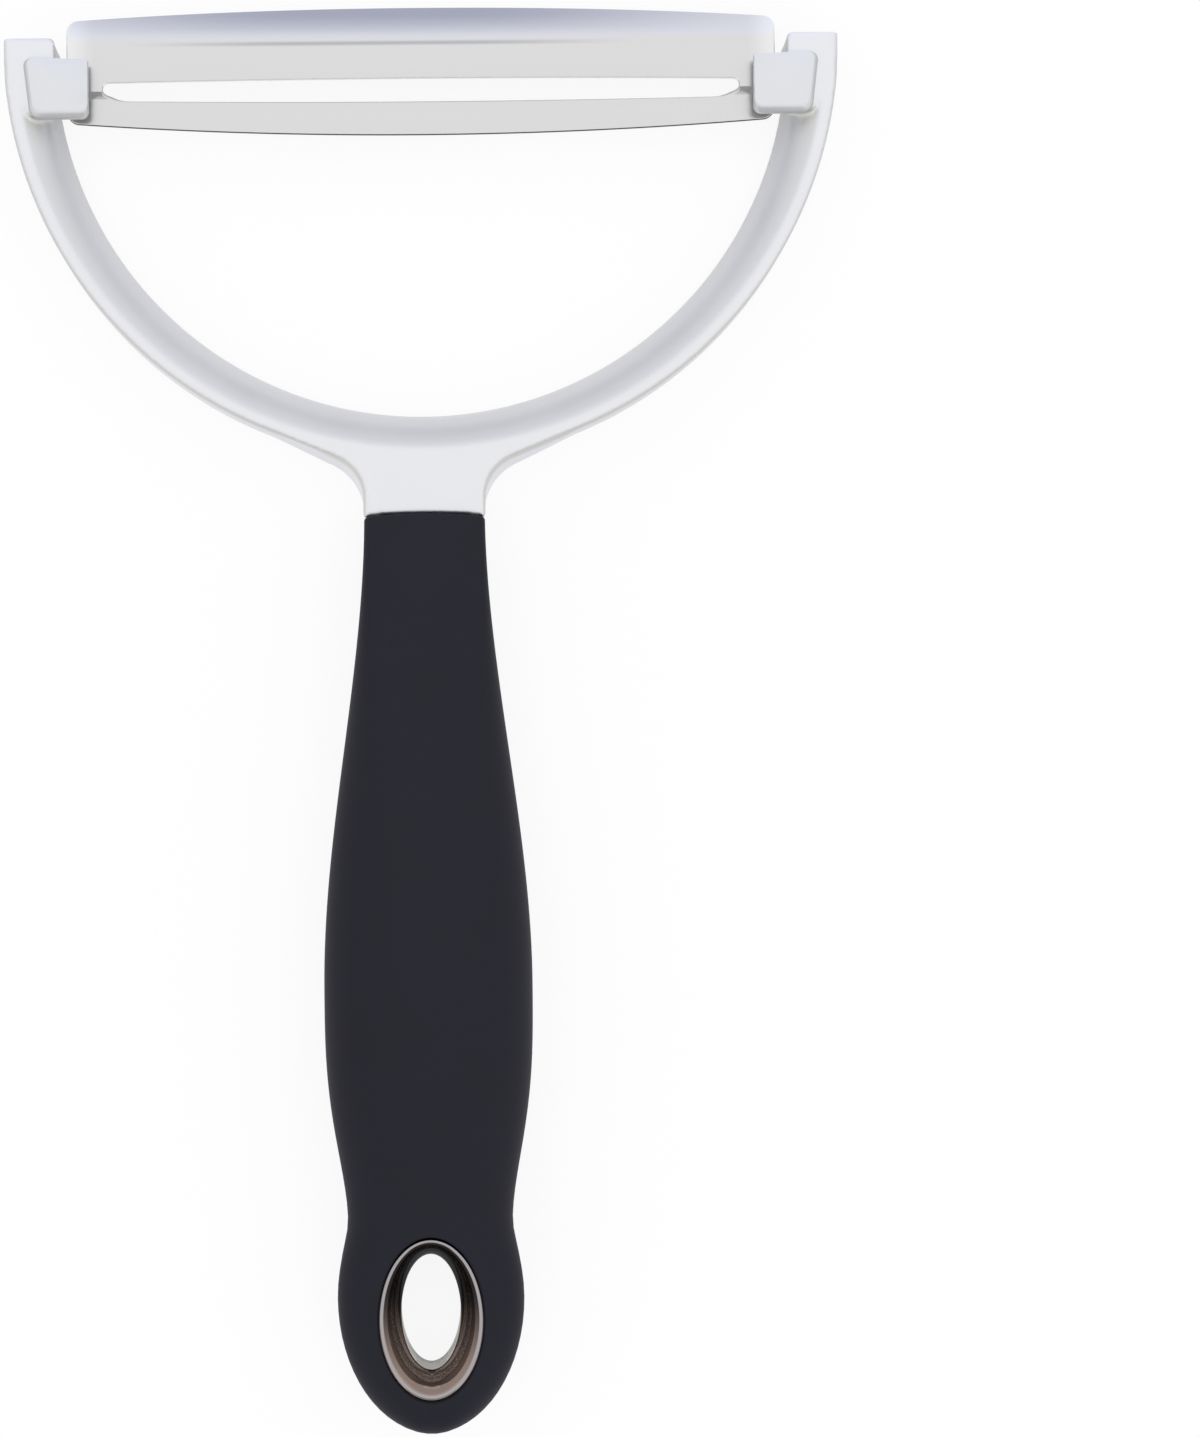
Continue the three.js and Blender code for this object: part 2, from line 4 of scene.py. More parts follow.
import bmesh
import bpy
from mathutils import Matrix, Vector


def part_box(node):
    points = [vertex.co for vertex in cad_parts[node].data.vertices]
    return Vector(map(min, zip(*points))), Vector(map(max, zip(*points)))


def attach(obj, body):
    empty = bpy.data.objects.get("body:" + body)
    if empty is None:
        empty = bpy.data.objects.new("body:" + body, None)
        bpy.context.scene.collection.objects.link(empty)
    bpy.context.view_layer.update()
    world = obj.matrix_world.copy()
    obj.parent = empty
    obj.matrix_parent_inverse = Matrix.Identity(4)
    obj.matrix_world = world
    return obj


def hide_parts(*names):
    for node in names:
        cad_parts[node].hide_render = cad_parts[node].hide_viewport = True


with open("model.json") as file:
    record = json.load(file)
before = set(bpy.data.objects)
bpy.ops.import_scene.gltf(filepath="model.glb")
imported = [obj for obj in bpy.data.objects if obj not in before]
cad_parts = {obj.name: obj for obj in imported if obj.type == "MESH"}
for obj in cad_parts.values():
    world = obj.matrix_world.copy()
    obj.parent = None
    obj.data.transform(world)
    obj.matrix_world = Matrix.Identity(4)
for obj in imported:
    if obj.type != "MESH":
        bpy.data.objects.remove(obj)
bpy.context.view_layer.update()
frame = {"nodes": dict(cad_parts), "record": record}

# Yoke casting: one satin metal casting with a half-ring loop, an ear at each end of it,
# a square boss on each ear that covers the blade's end, a neck, and a tang for the handle.
# It is die cast in one shot and tumbled, so every edge and inside corner is slightly round.
MM = 0.001
SAME_PLACE = 0.01
WELD = 0.002
CORNER_MERGE = 0.25
OVERLAP = 1.0
PIVOT_Y, PIVOT_Z = (place / MM for place in frame["record"]["behaviour"]["joints"][0]["pos_m"][1:])
HANDLE_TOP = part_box("grip_sleeve")[1].y / MM
BOSS_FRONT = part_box("yoke_frame")[1].z / MM
BOSS_BACK = BOSS_FRONT - 2.0
FRAME_DEPTH = BOSS_FRONT - 0.8
LOOP_CENTRE = HANDLE_TOP + 69.5
LOOP_RADIUS = 61.4
LOOP_FACE = 1.7
LOOP_SLOPE = 5.2
LOOP_LAND = 0.8
LOOP_STEPS = 160
SLOPE_ROUND = 0.75
SLOPE_STEPS = 12
CAST_DRAFT = 0.2
EAR_TOP = PIVOT_Y + 7.6
EAR_INNER = 53.8
EAR_OUTER = 61.27
EAR_ROUND = 0.7
EAR_ROUND_STEPS = 4
EAR_DRAFT = 0.7
PILLAR_OUTER = 60.9
PILLAR_LEAN = 3.3
PILLAR_ROUND = 1.6
PILLAR_ROUND_STEPS = 6
PILLAR_RAKE = 1.4
BORE_RADIUS = 1.3
BORE_END = 58.55
BOSS_INNER = 48.9
BOSS_OUTER = 58.4
BOSS_LEAN = 0.7
BOSS_LOW = PIVOT_Y - 4.3
BOSS_HIGH = PIVOT_Y + 4.6
BOSS_TOP_LEAN = 0.55
BOSS_INNER_CORNER = 1.1
BOSS_OUTER_CORNER = 1.6
BOSS_TOP_CORNER = 1.2
BOSS_CORNER_STEPS = 6
BOSS_ROLL = (0.8, 1.5, 1.2)
BOSS_ROLL_STEPS = 7
BOSS_CRISP = 0.16
BOSS_CRISP_ANGLE = math.radians(50)
NECK_HALF = 8.975
NECK_OVERLAP = 0.5
NECK_FILLET_STEPS = 16
NECK_FOOT_STEPS = 8
NECK_INSIDE_STEPS = 24
NECK_SQUARE = HANDLE_TOP + 0.3
NECK_FOOT = HANDLE_TOP + 0.03
FOOT_ARCH_RADIUS = 84.0
NECK_BACK = (8.4, NECK_SQUARE)
NECK_FRONT = (6.0, HANDLE_TOP + 2.8)
NECK_RAMP = 6.0
NECK_RISE = 1.2
TANG_HALF = (5.97, 2.18)
TANG_MIDDLE = 5.68
TANG_FOOT = HANDLE_TOP - 72.0
TANG_HOLES = (HANDLE_TOP - 24.0, HANDLE_TOP - 48.0)
TANG_HOLE_RADIUS = 2.4
CAST_GRAIN = 0.35
SATIN_METAL = (0.65, 0.652, 0.668, 1)
SATIN_METAL_SHADE = (0.615, 0.617, 0.636, 1)
# Painted shade: the boss's face is painted a little darker than the rest of the casting.
BOSS_PAINTED_SHADE = (0.585, 0.59, 0.605, 1)
# Painted reflection: tints that make the metal below the face warmer, and the deep parts and outer walls
# lighter and bluer.
PAINTED_SLOPE_TINT = (1.0, 0.995, 0.935, 1)
PAINTED_DEEP_LIGHT = (1.045, 1.05, 1.115, 1)
PAINTED_WALL_LIGHT = (1.22, 1.22, 1.34, 1)
BOSS_FADE = (0.3, 0.1)
SLOPE_FADE = (0.5, 0.0)
DEEP_FADE = (3.5, 1.5)
WALL_FADE = (0.5, 0.1)


def pick(test):
    """In edit mode, selects the corners whose place in millimetres passes a test."""
    mesh = bpy.context.object.data
    shell = bmesh.from_edit_mesh(mesh)
    for corner in shell.verts:
        corner.select_set(False)
    shell.select_flush(False)
    for corner in shell.verts:
        corner.select_set(bool(test(corner.co / MM)))
    shell.select_flush(True)
    bmesh.update_edit_mesh(mesh)


def trace(name, points):
    """Draws a chain of edges from point to point in millimetres, and stays in edit mode."""
    places = [Vector(point) * MM for point in points]
    bpy.ops.object.select_all(action="DESELECT")
    bpy.ops.mesh.primitive_plane_add(size=MM, location=places[0])
    bpy.ops.object.transform_apply(location=True, rotation=True, scale=True)
    bpy.context.object.name = name
    bpy.ops.object.mode_set(mode="EDIT")
    bpy.ops.mesh.merge(type="CENTER")
    for here, there in zip(places, places[1:]):
        bpy.ops.mesh.extrude_region_move(TRANSFORM_OT_translate={"value": there - here})
    return bpy.context.object


def draw(name, points):
    """Draws a flat outline and fills it."""
    drawn = trace(name, points)
    bpy.ops.mesh.select_all(action="SELECT")
    bpy.ops.mesh.edge_face_add()
    return drawn


def push(step):
    """Extrudes what is selected by a step in millimetres."""
    bpy.ops.mesh.extrude_region_move(TRANSFORM_OT_translate={"value": Vector(step) * MM})


def block(name, low, high):
    """A box between two corners in millimetres, left in edit mode."""
    low, high = Vector(low) * MM, Vector(high) * MM
    bpy.ops.object.select_all(action="DESELECT")
    bpy.ops.mesh.primitive_cube_add(size=1, location=(low + high) / 2, scale=high - low)
    bpy.ops.object.transform_apply(location=True, rotation=True, scale=True)
    bpy.context.object.name = name
    bpy.ops.object.mode_set(mode="EDIT")
    return bpy.context.object


def round_edges(test, radius, steps):
    """Rounds the edges between the corners that pass a test, with corners that crowd merged first."""
    pick(test)
    bpy.ops.mesh.remove_doubles(threshold=radius * MM * CORNER_MERGE)
    bpy.ops.mesh.bevel(
        offset=radius * MM, segments=steps, affect="EDGES", clamp_overlap=False
    )


def close():
    """Ends the shaping of a closed shell: doubles merged, faces turned outwards."""
    bpy.ops.mesh.select_all(action="SELECT")
    bpy.ops.mesh.remove_doubles(threshold=WELD * MM)
    bpy.ops.mesh.normals_make_consistent(inside=False)
    bpy.ops.object.mode_set(mode="OBJECT")
    return bpy.context.object


def heal():
    """Closes the active piece again after cuts, without the slivers that they left."""
    bpy.ops.object.mode_set(mode="EDIT")
    bpy.ops.mesh.select_all(action="SELECT")
    bpy.ops.mesh.dissolve_degenerate(threshold=SAME_PLACE * MM)
    close()


def apply(piece, kind, **settings):
    """Adds a modifier with its settings and applies it."""
    bpy.ops.object.select_all(action="DESELECT")
    piece.select_set(True)
    bpy.context.view_layer.objects.active = piece
    modifier = piece.modifiers.new(kind.lower(), kind)
    for setting, value in settings.items():
        setattr(modifier, setting, value)
    bpy.ops.object.modifier_apply(modifier=modifier.name)


def combine(piece, tool, operation):
    """Cuts a piece with a tool, or joins the tool to it, and takes the tool away."""
    apply(piece, "BOOLEAN", operation=operation, object=tool, solver="EXACT")
    bpy.data.objects.remove(tool)


def pin(name, low, high, radius, sides=48):
    """A round bar between two points in millimetres that differ along one axis."""
    low, high = Vector(low) * MM, Vector(high) * MM
    turn = (high - low).to_track_quat("Z", "Y").to_euler()
    bpy.ops.object.select_all(action="DESELECT")
    bpy.ops.mesh.primitive_cylinder_add(
        vertices=sides,
        radius=radius * MM,
        depth=(high - low).length,
        location=(low + high) / 2,
        rotation=turn,
    )
    bpy.ops.object.transform_apply(location=True, rotation=True, scale=True)
    bpy.context.object.name = name
    return bpy.context.object


def mirrored(piece):
    """A copy of a piece at the other end of the blade, with its own mesh."""
    bpy.ops.object.select_all(action="DESELECT")
    piece.select_set(True)
    bpy.context.view_layer.objects.active = piece
    bpy.ops.object.duplicate()
    bpy.ops.object.mode_set(mode="EDIT")
    bpy.ops.mesh.select_all(action="SELECT")
    bpy.ops.transform.resize(value=(-1, 1, 1), center_override=(0, 0, 0))
    return close()


def cast_loop():
    """The half ring: its section spun half a turn, then trimmed flat at the ears.

    Its inner side stands steep at the foot and leans over more and more towards the face.
    """
    opening = LOOP_RADIUS - LOOP_FACE - LOOP_SLOPE
    section = [(opening, 0)]
    for step in range(SLOPE_STEPS + 1):
        share = step / SLOPE_STEPS
        lean = (1 - SLOPE_ROUND) * share + SLOPE_ROUND * share**3
        section.append((opening + LOOP_SLOPE * lean, LOOP_LAND + (FRAME_DEPTH - LOOP_LAND) * share))
    section += [(LOOP_RADIUS, FRAME_DEPTH), (LOOP_RADIUS + CAST_DRAFT, 0)]
    loop = draw("cast_loop", [(x, LOOP_CENTRE, z) for x, z in section])
    bpy.ops.mesh.spin(
        steps=LOOP_STEPS, angle=math.pi, center=(0, LOOP_CENTRE * MM, 0), axis=(0, 0, 1)
    )
    sides = [((0, EAR_TOP, 0), (0, 1, 0))]
    sides += [((side * EAR_OUTER, 0, 0), (side, 0, 0)) for side in (-1, 1)]
    for place, out in sides:
        bpy.ops.mesh.select_all(action="SELECT")
        bpy.ops.mesh.bisect(
            plane_co=Vector(place) * MM, plane_no=out, use_fill=True, clear_outer=True
        )
    close()
    return loop


def cast_ear():
    """The right ear: the block at the loop's end."""
    ear = block("ear", (EAR_INNER, BOSS_HIGH - OVERLAP, 0), (EAR_OUTER, EAR_TOP, FRAME_DEPTH))
    pick(lambda at: at.x < EAR_INNER + SAME_PLACE and at.z < SAME_PLACE)
    bpy.ops.transform.translate(value=(EAR_DRAFT * MM, 0, 0))
    round_edges(
        lambda at: at.y > EAR_TOP - SAME_PLACE and at.x < EAR_OUTER - OVERLAP,
        EAR_ROUND,
        EAR_ROUND_STEPS,
    )
    close()
    return ear


def cast_pillar():
    """The right pillar, from the ear down to the boss's foot, narrower at its foot."""
    top = (PILLAR_OUTER, EAR_TOP - OVERLAP, FRAME_DEPTH)
    pillar = block("pillar", (EAR_INNER, BOSS_LOW, 0), top)
    pick(lambda at: at.y < BOSS_LOW + SAME_PLACE and at.x > PILLAR_OUTER - SAME_PLACE)
    bpy.ops.transform.translate(value=(-PILLAR_LEAN * MM, 0, 0))
    pick(lambda at: at.y < BOSS_LOW + SAME_PLACE and at.z < SAME_PLACE)
    bpy.ops.transform.translate(value=(0, PILLAR_RAKE * MM, 0))
    low = BOSS_LOW + PILLAR_RAKE + SAME_PLACE
    inner, outer = EAR_INNER + SAME_PLACE, PILLAR_OUTER - PILLAR_LEAN - SAME_PLACE
    round_edges(lambda at: at.y < low and at.x < inner, PILLAR_ROUND, PILLAR_ROUND_STEPS)
    round_edges(lambda at: at.y < low and at.x > outer, PILLAR_ROUND, PILLAR_ROUND_STEPS)
    close()
    return pillar


def cast_boss():
    """The right boss: a leaning square with round corners, rolled over at its foot and outer side."""
    foot = BOSS_OUTER - BOSS_LEAN
    outline = [(BOSS_INNER, BOSS_HIGH - BOSS_TOP_LEAN)]
    for quarter, corner, x, y in (
        (2, BOSS_INNER_CORNER, BOSS_INNER + BOSS_INNER_CORNER, BOSS_LOW + BOSS_INNER_CORNER),
        (3, BOSS_OUTER_CORNER, foot - BOSS_OUTER_CORNER, BOSS_LOW + BOSS_OUTER_CORNER),
        (4, BOSS_TOP_CORNER, BOSS_OUTER - BOSS_TOP_CORNER, BOSS_HIGH - BOSS_TOP_CORNER),
    ):
        for step in range(BOSS_CORNER_STEPS + 1):
            angle = math.pi / 2 * (quarter + step / BOSS_CORNER_STEPS)
            outline.append((x + corner * math.cos(angle), y + corner * math.sin(angle)))
    boss = draw("boss", [(x, y, BOSS_BACK) for x, y in outline])
    side, bottom, rise = BOSS_ROLL
    size = (BOSS_OUTER - BOSS_INNER, BOSS_HIGH - BOSS_LOW)
    push((0, 0, BOSS_FRONT - BOSS_BACK - rise))
    rolled = [(0, 0, 0)]
    for step in range(1, BOSS_ROLL_STEPS + 1):
        angle = math.pi / 2 * step / BOSS_ROLL_STEPS
        back = 1 - math.cos(angle)
        rolled.append((side * back, bottom * back, rise * math.sin(angle)))
        was, now = rolled[-2:]
        push((0, 0, now[2] - was[2]))
        ratio = [(whole - new) / (whole - old) for whole, old, new in zip(size, was, now)]
        bpy.ops.transform.resize(
            value=(*ratio, 1), center_override=Vector((BOSS_INNER, BOSS_HIGH, 0)) * MM
        )
    close()
    apply(
        boss,
        "BEVEL",
        width=BOSS_CRISP * MM,
        segments=3,
        limit_method="ANGLE",
        angle_limit=BOSS_CRISP_ANGLE,
    )
    return boss


def neck_outline(fillet, level):
    """The neck's outline: down a tangent from the loop and round a fillet that ends at a level."""
    drop = LOOP_CENTRE - level
    fillet_x = NECK_HALF + fillet
    apart = math.hypot(fillet_x, drop)
    tangent = math.acos((LOOP_RADIUS + fillet) / apart) - math.atan2(drop, fillet_x)
    inside = LOOP_RADIUS - NECK_OVERLAP
    side = [(LOOP_RADIUS * math.cos(tangent), LOOP_CENTRE + LOOP_RADIUS * math.sin(tangent))]
    for step in range(NECK_FILLET_STEPS + 1):
        angle = math.pi + tangent * (1 - step / NECK_FILLET_STEPS)
        side.append((fillet_x + fillet * math.cos(angle), level + fillet * math.sin(angle)))
    foot_centre = NECK_FOOT - FOOT_ARCH_RADIUS
    for step in range(NECK_FOOT_STEPS):
        across = NECK_HALF * (1 - step / NECK_FOOT_STEPS)
        side.append((across, foot_centre + math.sqrt(FOOT_ARCH_RADIUS**2 - across**2)))
    outline = side + [(0, NECK_FOOT)] + [(-x, y) for x, y in reversed(side)]
    for step in range(NECK_INSIDE_STEPS + 1):
        angle = math.pi - tangent + (2 * tangent + math.pi) * step / NECK_INSIDE_STEPS
        outline.append((inside * math.cos(angle), LOOP_CENTRE + inside * math.sin(angle)))
    return [Vector((x, y, 0)) for x, y in outline]


def cast_neck():
    """The neck: its back outline extruded, and the front drawn in to its own outline."""
    back = neck_outline(*NECK_BACK)
    neck = draw("cast_neck", back)
    push((0, 0, FRAME_DEPTH))
    front_face = Vector((0, 0, FRAME_DEPTH))
    for here, there in zip(back, neck_outline(*NECK_FRONT)):
        pick(lambda at: (at - here - front_face).length < SAME_PLACE)
        bpy.ops.transform.translate(value=(there - here) * MM)
    bpy.ops.mesh.select_all(action="SELECT")
    bpy.ops.mesh.bisect(
        plane_co=(0, NECK_SQUARE * MM, NECK_RISE * MM),
        plane_no=(0, -NECK_RISE, -NECK_RAMP),
        use_fill=True,
        clear_outer=True,
    )
    close()
    return neck


def cast_tang():
    """The flat tang that the handle is moulded on, with its two holes."""
    wide, thick = TANG_HALF
    tang = block(
        "cast_tang",
        (-wide, TANG_FOOT, TANG_MIDDLE - thick),
        (wide, NECK_SQUARE + NECK_RAMP, TANG_MIDDLE + thick),
    )
    close()
    for hole in TANG_HOLES:
        punch = pin("punch", (0, hole, 0), (0, hole, FRAME_DEPTH), TANG_HOLE_RADIUS)
        combine(tang, punch, "DIFFERENCE")
    return tang


class Wire:
    """A socket of a node tree. Arithmetic on wires adds Math nodes to the tree."""

    def __init__(self, tree, socket):
        self.tree = tree
        self.socket = socket

    def node(self, kind, settings=None, inputs=None, out=0):
        """Adds a node, with its settings set first, and gives one of its outputs."""
        made = self.tree.nodes.new(kind)
        for name, value in (settings or {}).items():
            setattr(made, name, value)
        for name, value in (inputs or {}).items():
            if isinstance(value, Wire):
                self.tree.links.new(value.socket, made.inputs[name])
            else:
                made.inputs[name].default_value = value
        return Wire(self.tree, made.outputs[out])

    def result_of(self, operation, first, second):
        """What a Math node makes of two values."""
        return self.node("ShaderNodeMath", {"operation": operation}, {0: first, 1: second})

    def __add__(self, other):
        return self.result_of("ADD", self, other)

    def __sub__(self, other):
        return self.result_of("SUBTRACT", self, other)

    def __rsub__(self, other):
        return self.result_of("SUBTRACT", other, self)

    def __mul__(self, other):
        return self.result_of("MULTIPLY", self, other)

    def __pow__(self, other):
        return self.result_of("POWER", self, other)

    __radd__ = __add__
    __rmul__ = __mul__

    def size(self):
        """How far this wire is from nought."""
        return self.result_of("ABSOLUTE", self, 0)

    def part(self, axis):
        """This wire's vector along one axis."""
        return self.node("ShaderNodeSeparateXYZ", {}, {"Vector": self}, out=axis)

    def mix(self, low, high):
        """A colour between two, by this wire."""
        return self.node(
            "ShaderNodeMix",
            {"data_type": "RGBA"},
            {"Factor": self, 6: low, 7: high},
            out=2,
        )

    def tint(self, colour, by):
        """A colour multiplied by another, by this wire."""
        return self.node(
            "ShaderNodeMix",
            {"data_type": "RGBA", "blend_type": "MULTIPLY"},
            {"Factor": self, 6: colour, 7: by},
            out=2,
        )

    def noise(self, scale, detail=2, roughness=0.5):
        """A soft noise of this wire's vector."""
        return self.node(
            "ShaderNodeTexNoise",
            {"noise_dimensions": "3D"},
            {"Vector": self, "Scale": scale, "Detail": detail, "Roughness": roughness},
        )

    def ease(self, low, high):
        """0 up to a low value, 1 from a high one, and smoothly between."""
        return self.node(
            "ShaderNodeMapRange",
            {"interpolation_type": "SMOOTHSTEP"},
            {"Value": self, "From Min": low, "From Max": high},
        )

    def stretch(self, scale):
        """This wire's vector, stretched along its axes."""
        return self.node("ShaderNodeMapping", {}, {"Vector": self, "Scale": scale})

    def bump(self, strength, depth):
        """The normal of a surface that this wire's height roughens."""
        inputs = {"Height": self, "Strength": strength, "Distance": depth}
        return self.node("ShaderNodeBump", {}, inputs)


def finish_of(name):
    """A new material: its place on the object as a wire, and its shader."""
    material = bpy.data.materials.new(name)
    material.use_nodes = True
    tree = material.node_tree
    place = tree.nodes.new("ShaderNodeTexCoord").outputs["Object"]
    return material, Wire(tree, place), tree.nodes["Principled BSDF"]


def wire_up(shader, place, sockets):
    """Sets a shader's plain values and links its wires."""
    for name, value in sockets.items():
        if isinstance(value, Wire):
            place.tree.links.new(value.socket, shader.inputs[name])
        else:
            shader.inputs[name].default_value = value


def satin_metal():
    """Satin die casting: faint cloudiness and a fine tumbled grain, with painted light: below the face
    the metal is a little warmer, deep down it is painted lighter and bluer, and on the outer walls
    lighter still, as painted reflection; the boss is painted a little darker, as painted shade.
    """
    material, place, shader = finish_of("satin_cast_metal")
    cloud = place.noise(90, 3)
    grain = place.noise(2600, 2, 0.6)
    height = place.part("Z")
    # On the boss the metal is painted a little darker, as painted shade.
    on_boss = height.ease((FRAME_DEPTH + BOSS_FADE[0]) * MM, (BOSS_FRONT - BOSS_FADE[1]) * MM)
    # Painted reflection: below the face the metal is tinted warmer, and deep down it is painted lighter
    # and bluer, most of all on the outer walls.
    slope = 1 - height.ease(*((FRAME_DEPTH - below) * MM for below in SLOPE_FADE))
    deep = 1 - height.ease(*((FRAME_DEPTH - below) * MM for below in DEEP_FADE))
    across, along = place.part("X"), place.part("Y") - LOOP_CENTRE * MM
    from_centre = (across * across + along * along) ** 0.5
    outside = from_centre.ease(*((LOOP_RADIUS - inside) * MM for inside in WALL_FADE))
    metal = cloud.mix(SATIN_METAL_SHADE, SATIN_METAL)
    metal = deep.tint(slope.tint(metal, PAINTED_SLOPE_TINT), outside.mix(PAINTED_DEEP_LIGHT, PAINTED_WALL_LIGHT))
    wire_up(
        shader,
        place,
        {
            "Base Color": on_boss.mix(metal, BOSS_PAINTED_SHADE),
            "Metallic": 1.0,
            "Roughness": 0.36 + 0.1 * cloud + 0.06 * grain,
            "Normal": (grain + 0.6 * cloud).bump(0.25, 0.00006),
        },
    )
    return material


def join(pieces, name):
    """Joins pieces into the first one."""
    bpy.ops.object.select_all(action="DESELECT")
    for piece in pieces:
        piece.select_set(True)
    bpy.context.view_layer.objects.active = pieces[0]
    bpy.ops.object.join()
    pieces[0].name = name
    return pieces[0]


casting = [cast_loop(), cast_neck(), cast_tang(), cast_ear(), cast_pillar()]
casting += [mirrored(piece) for piece in casting[-2:]]
yoke = join(casting, "yoke_casting")
apply(yoke, "REMESH", mode="VOXEL", voxel_size=CAST_GRAIN * MM)
apply(yoke, "SMOOTH", factor=0.5, iterations=4)
boss = cast_boss()
for piece in (mirrored(boss), boss):
    combine(yoke, piece, "UNION")
for side in (-1, 1):
    ends = [(side * x, PIVOT_Y, PIVOT_Z) for x in (EAR_INNER - OVERLAP, BORE_END)]
    combine(yoke, pin("bore", *ends, BORE_RADIUS), "DIFFERENCE")
heal()
bpy.ops.object.shade_smooth_by_angle(angle=math.radians(40))
yoke.data.materials.clear()
yoke.data.materials.append(satin_metal())
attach(yoke, "handle")
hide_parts("yoke_frame")

# Blade: a strip of stainless sheet, stamped to a bowed outline with a slot along its pivot line.
# The cutting strip above the slot is rolled back, the guide strip below it is stepped back,
# and a cheek is folded back at each end to take the pivot pins.
BLADE_HALF = 52.3
SHEET = 0.8
BLADE_FRONT = 3.9
EDGE_ABOVE = 12.82
EDGE_BELOW = 6.5
EDGE_BOW = 1.9
BLADE_CORNER = (1.8, 1.8)
BLADE_STAMP = (BLADE_HALF, EDGE_ABOVE, EDGE_BELOW, EDGE_BOW, BLADE_CORNER, BLADE_CORNER)
SLOT_HALF = 47.0
SLOT_ABOVE = 1.7
SLOT_BELOW = 1.55
SLOT_BOW = 0.35
SLOT_UPPER_CORNER = (0.9, 0.8)
SLOT_LOWER_CORNER = (4.5, 1.15)
SLOT_STAMP = (SLOT_HALF, SLOT_ABOVE, SLOT_BELOW, SLOT_BOW, SLOT_UPPER_CORNER, SLOT_LOWER_CORNER)
STAMP_CORNER_STEPS = 10
BOW_STEPS = 32
EDGE_BREAK = 0.2
GUIDE_STEP = 0.8
STEP_TOP = 0.15
STEP_FOOT = -1.05
STEP_RUN = STEP_TOP - STEP_FOOT
STEP_SLOPE = math.hypot(GUIDE_STEP, STEP_RUN)
FOLD_RADIUS = 0.5
FOLD_STEPS = 5
FOLD_SLACK = 0.001
ROLL_HEIGHT = 5.87
ROLL_ANGLE = math.radians(52)
ROLL_RADIUS = ROLL_HEIGHT / math.sin(ROLL_ANGLE)
ROLL_START = EDGE_ABOVE - ROLL_HEIGHT
ROLL_STEPS = 24
CHEEK_RADIUS = 2.2
CHEEK_SINK = 0.06
CHEEK_STEPS = 24
SHEARED_TURN = -0.4
STAINLESS = (0.545, 0.54, 0.545, 1)
STAINLESS_SHADE = (0.51, 0.507, 0.512, 1)
# Painted shade: the guide strip's lower edge is painted near black, as well as being rougher where it was
# sheared.
SHEARED_AND_SHADED_STEEL = (0.1, 0.095, 0.1, 1)
# Painted highlight: the slot's upper edge is painted near white.
SLOT_PAINTED_HIGHLIGHT = (0.95, 0.95, 0.95, 1)
# Painted reflection: a dark blue-grey line along the bend where the roll starts, fading towards the
# blade's ends.
BEND_PAINTED_REFLECTION = (0.36, 0.365, 0.39, 1)
BEND_MIDDLE = -6.0
BEND_FADE = (12.0, 40.0)
BEND_WIDTH = (0.05, 0.5)
# Painted light: the blade is painted lighter towards its ends.
END_PAINTED_LIGHT = (0.62, 0.62, 0.62, 1)
END_LIGHT_FADE = 4.5


def flat_place(y):
    """Where a height above the pivot line lies on the sheet before it is bent."""
    if y > ROLL_START:
        return ROLL_START + ROLL_RADIUS * math.asin((y - ROLL_START) / ROLL_RADIUS)
    if y < STEP_FOOT:
        return y + STEP_RUN - STEP_SLOPE
    if y < STEP_TOP:
        return STEP_TOP - (STEP_TOP - y) * STEP_SLOPE / STEP_RUN
    return y


def stamped_outline(half, above, below, bow, upper_corner, lower_corner):
    """A long outline on the flat sheet, about the pivot line: bowed edges and round corners."""
    points = []
    for way, reach, corner in ((1, -below, lower_corner), (-1, above, upper_corner)):
        end = reach - math.copysign(bow, reach)
        run = half - corner[0]
        turn = []
        for step in range(1, STAMP_CORNER_STEPS + 1):
            angle = math.pi / 2 * step / STAMP_CORNER_STEPS
            drop = math.copysign(corner[1] * (1 - math.cos(angle)), reach)
            turn.append((run + corner[0] * math.sin(angle), end - drop))
        points += [(-way * x, y) for x, y in reversed(turn)]
        for step in range(BOW_STEPS + 1):
            x = run * (step / (BOW_STEPS / 2) - 1)
            points.append((way * x, reach + (end - reach) * (x / run) ** 2))
        points += [(way * x, y) for x, y in turn]
    return [(x, PIVOT_Y + flat_place(y), PIVOT_Z + BLADE_FRONT) for x, y in points]


def closed_loop(name, points):
    """Draws a closed outline of edges."""
    drawn = trace(name, points)
    ends = [Vector(points[0]), Vector(points[-1])]
    pick(lambda at: min((at - end).length for end in ends) < SAME_PLACE)
    bpy.ops.mesh.edge_face_add()
    bpy.ops.object.mode_set(mode="OBJECT")
    return drawn


def stamped_sheet():
    """The flat blank: outline and slot bridged, the sheet's thickness given, edges broken."""
    loops = []
    for name, sizes in (("blade_sheet", BLADE_STAMP), ("slot", SLOT_STAMP)):
        loops.append(closed_loop(name, stamped_outline(*sizes)))
    sheet = join(loops, "blade_sheet")
    bpy.ops.object.mode_set(mode="EDIT")
    bpy.ops.mesh.select_all(action="SELECT")
    bpy.ops.mesh.bridge_edge_loops()
    bpy.ops.mesh.select_all(action="SELECT")
    push((0, 0, -SHEET))
    close()
    apply(
        sheet,
        "BEVEL",
        width=EDGE_BREAK * MM,
        segments=3,
        limit_method="ANGLE",
        angle_limit=math.radians(60),
    )
    return sheet


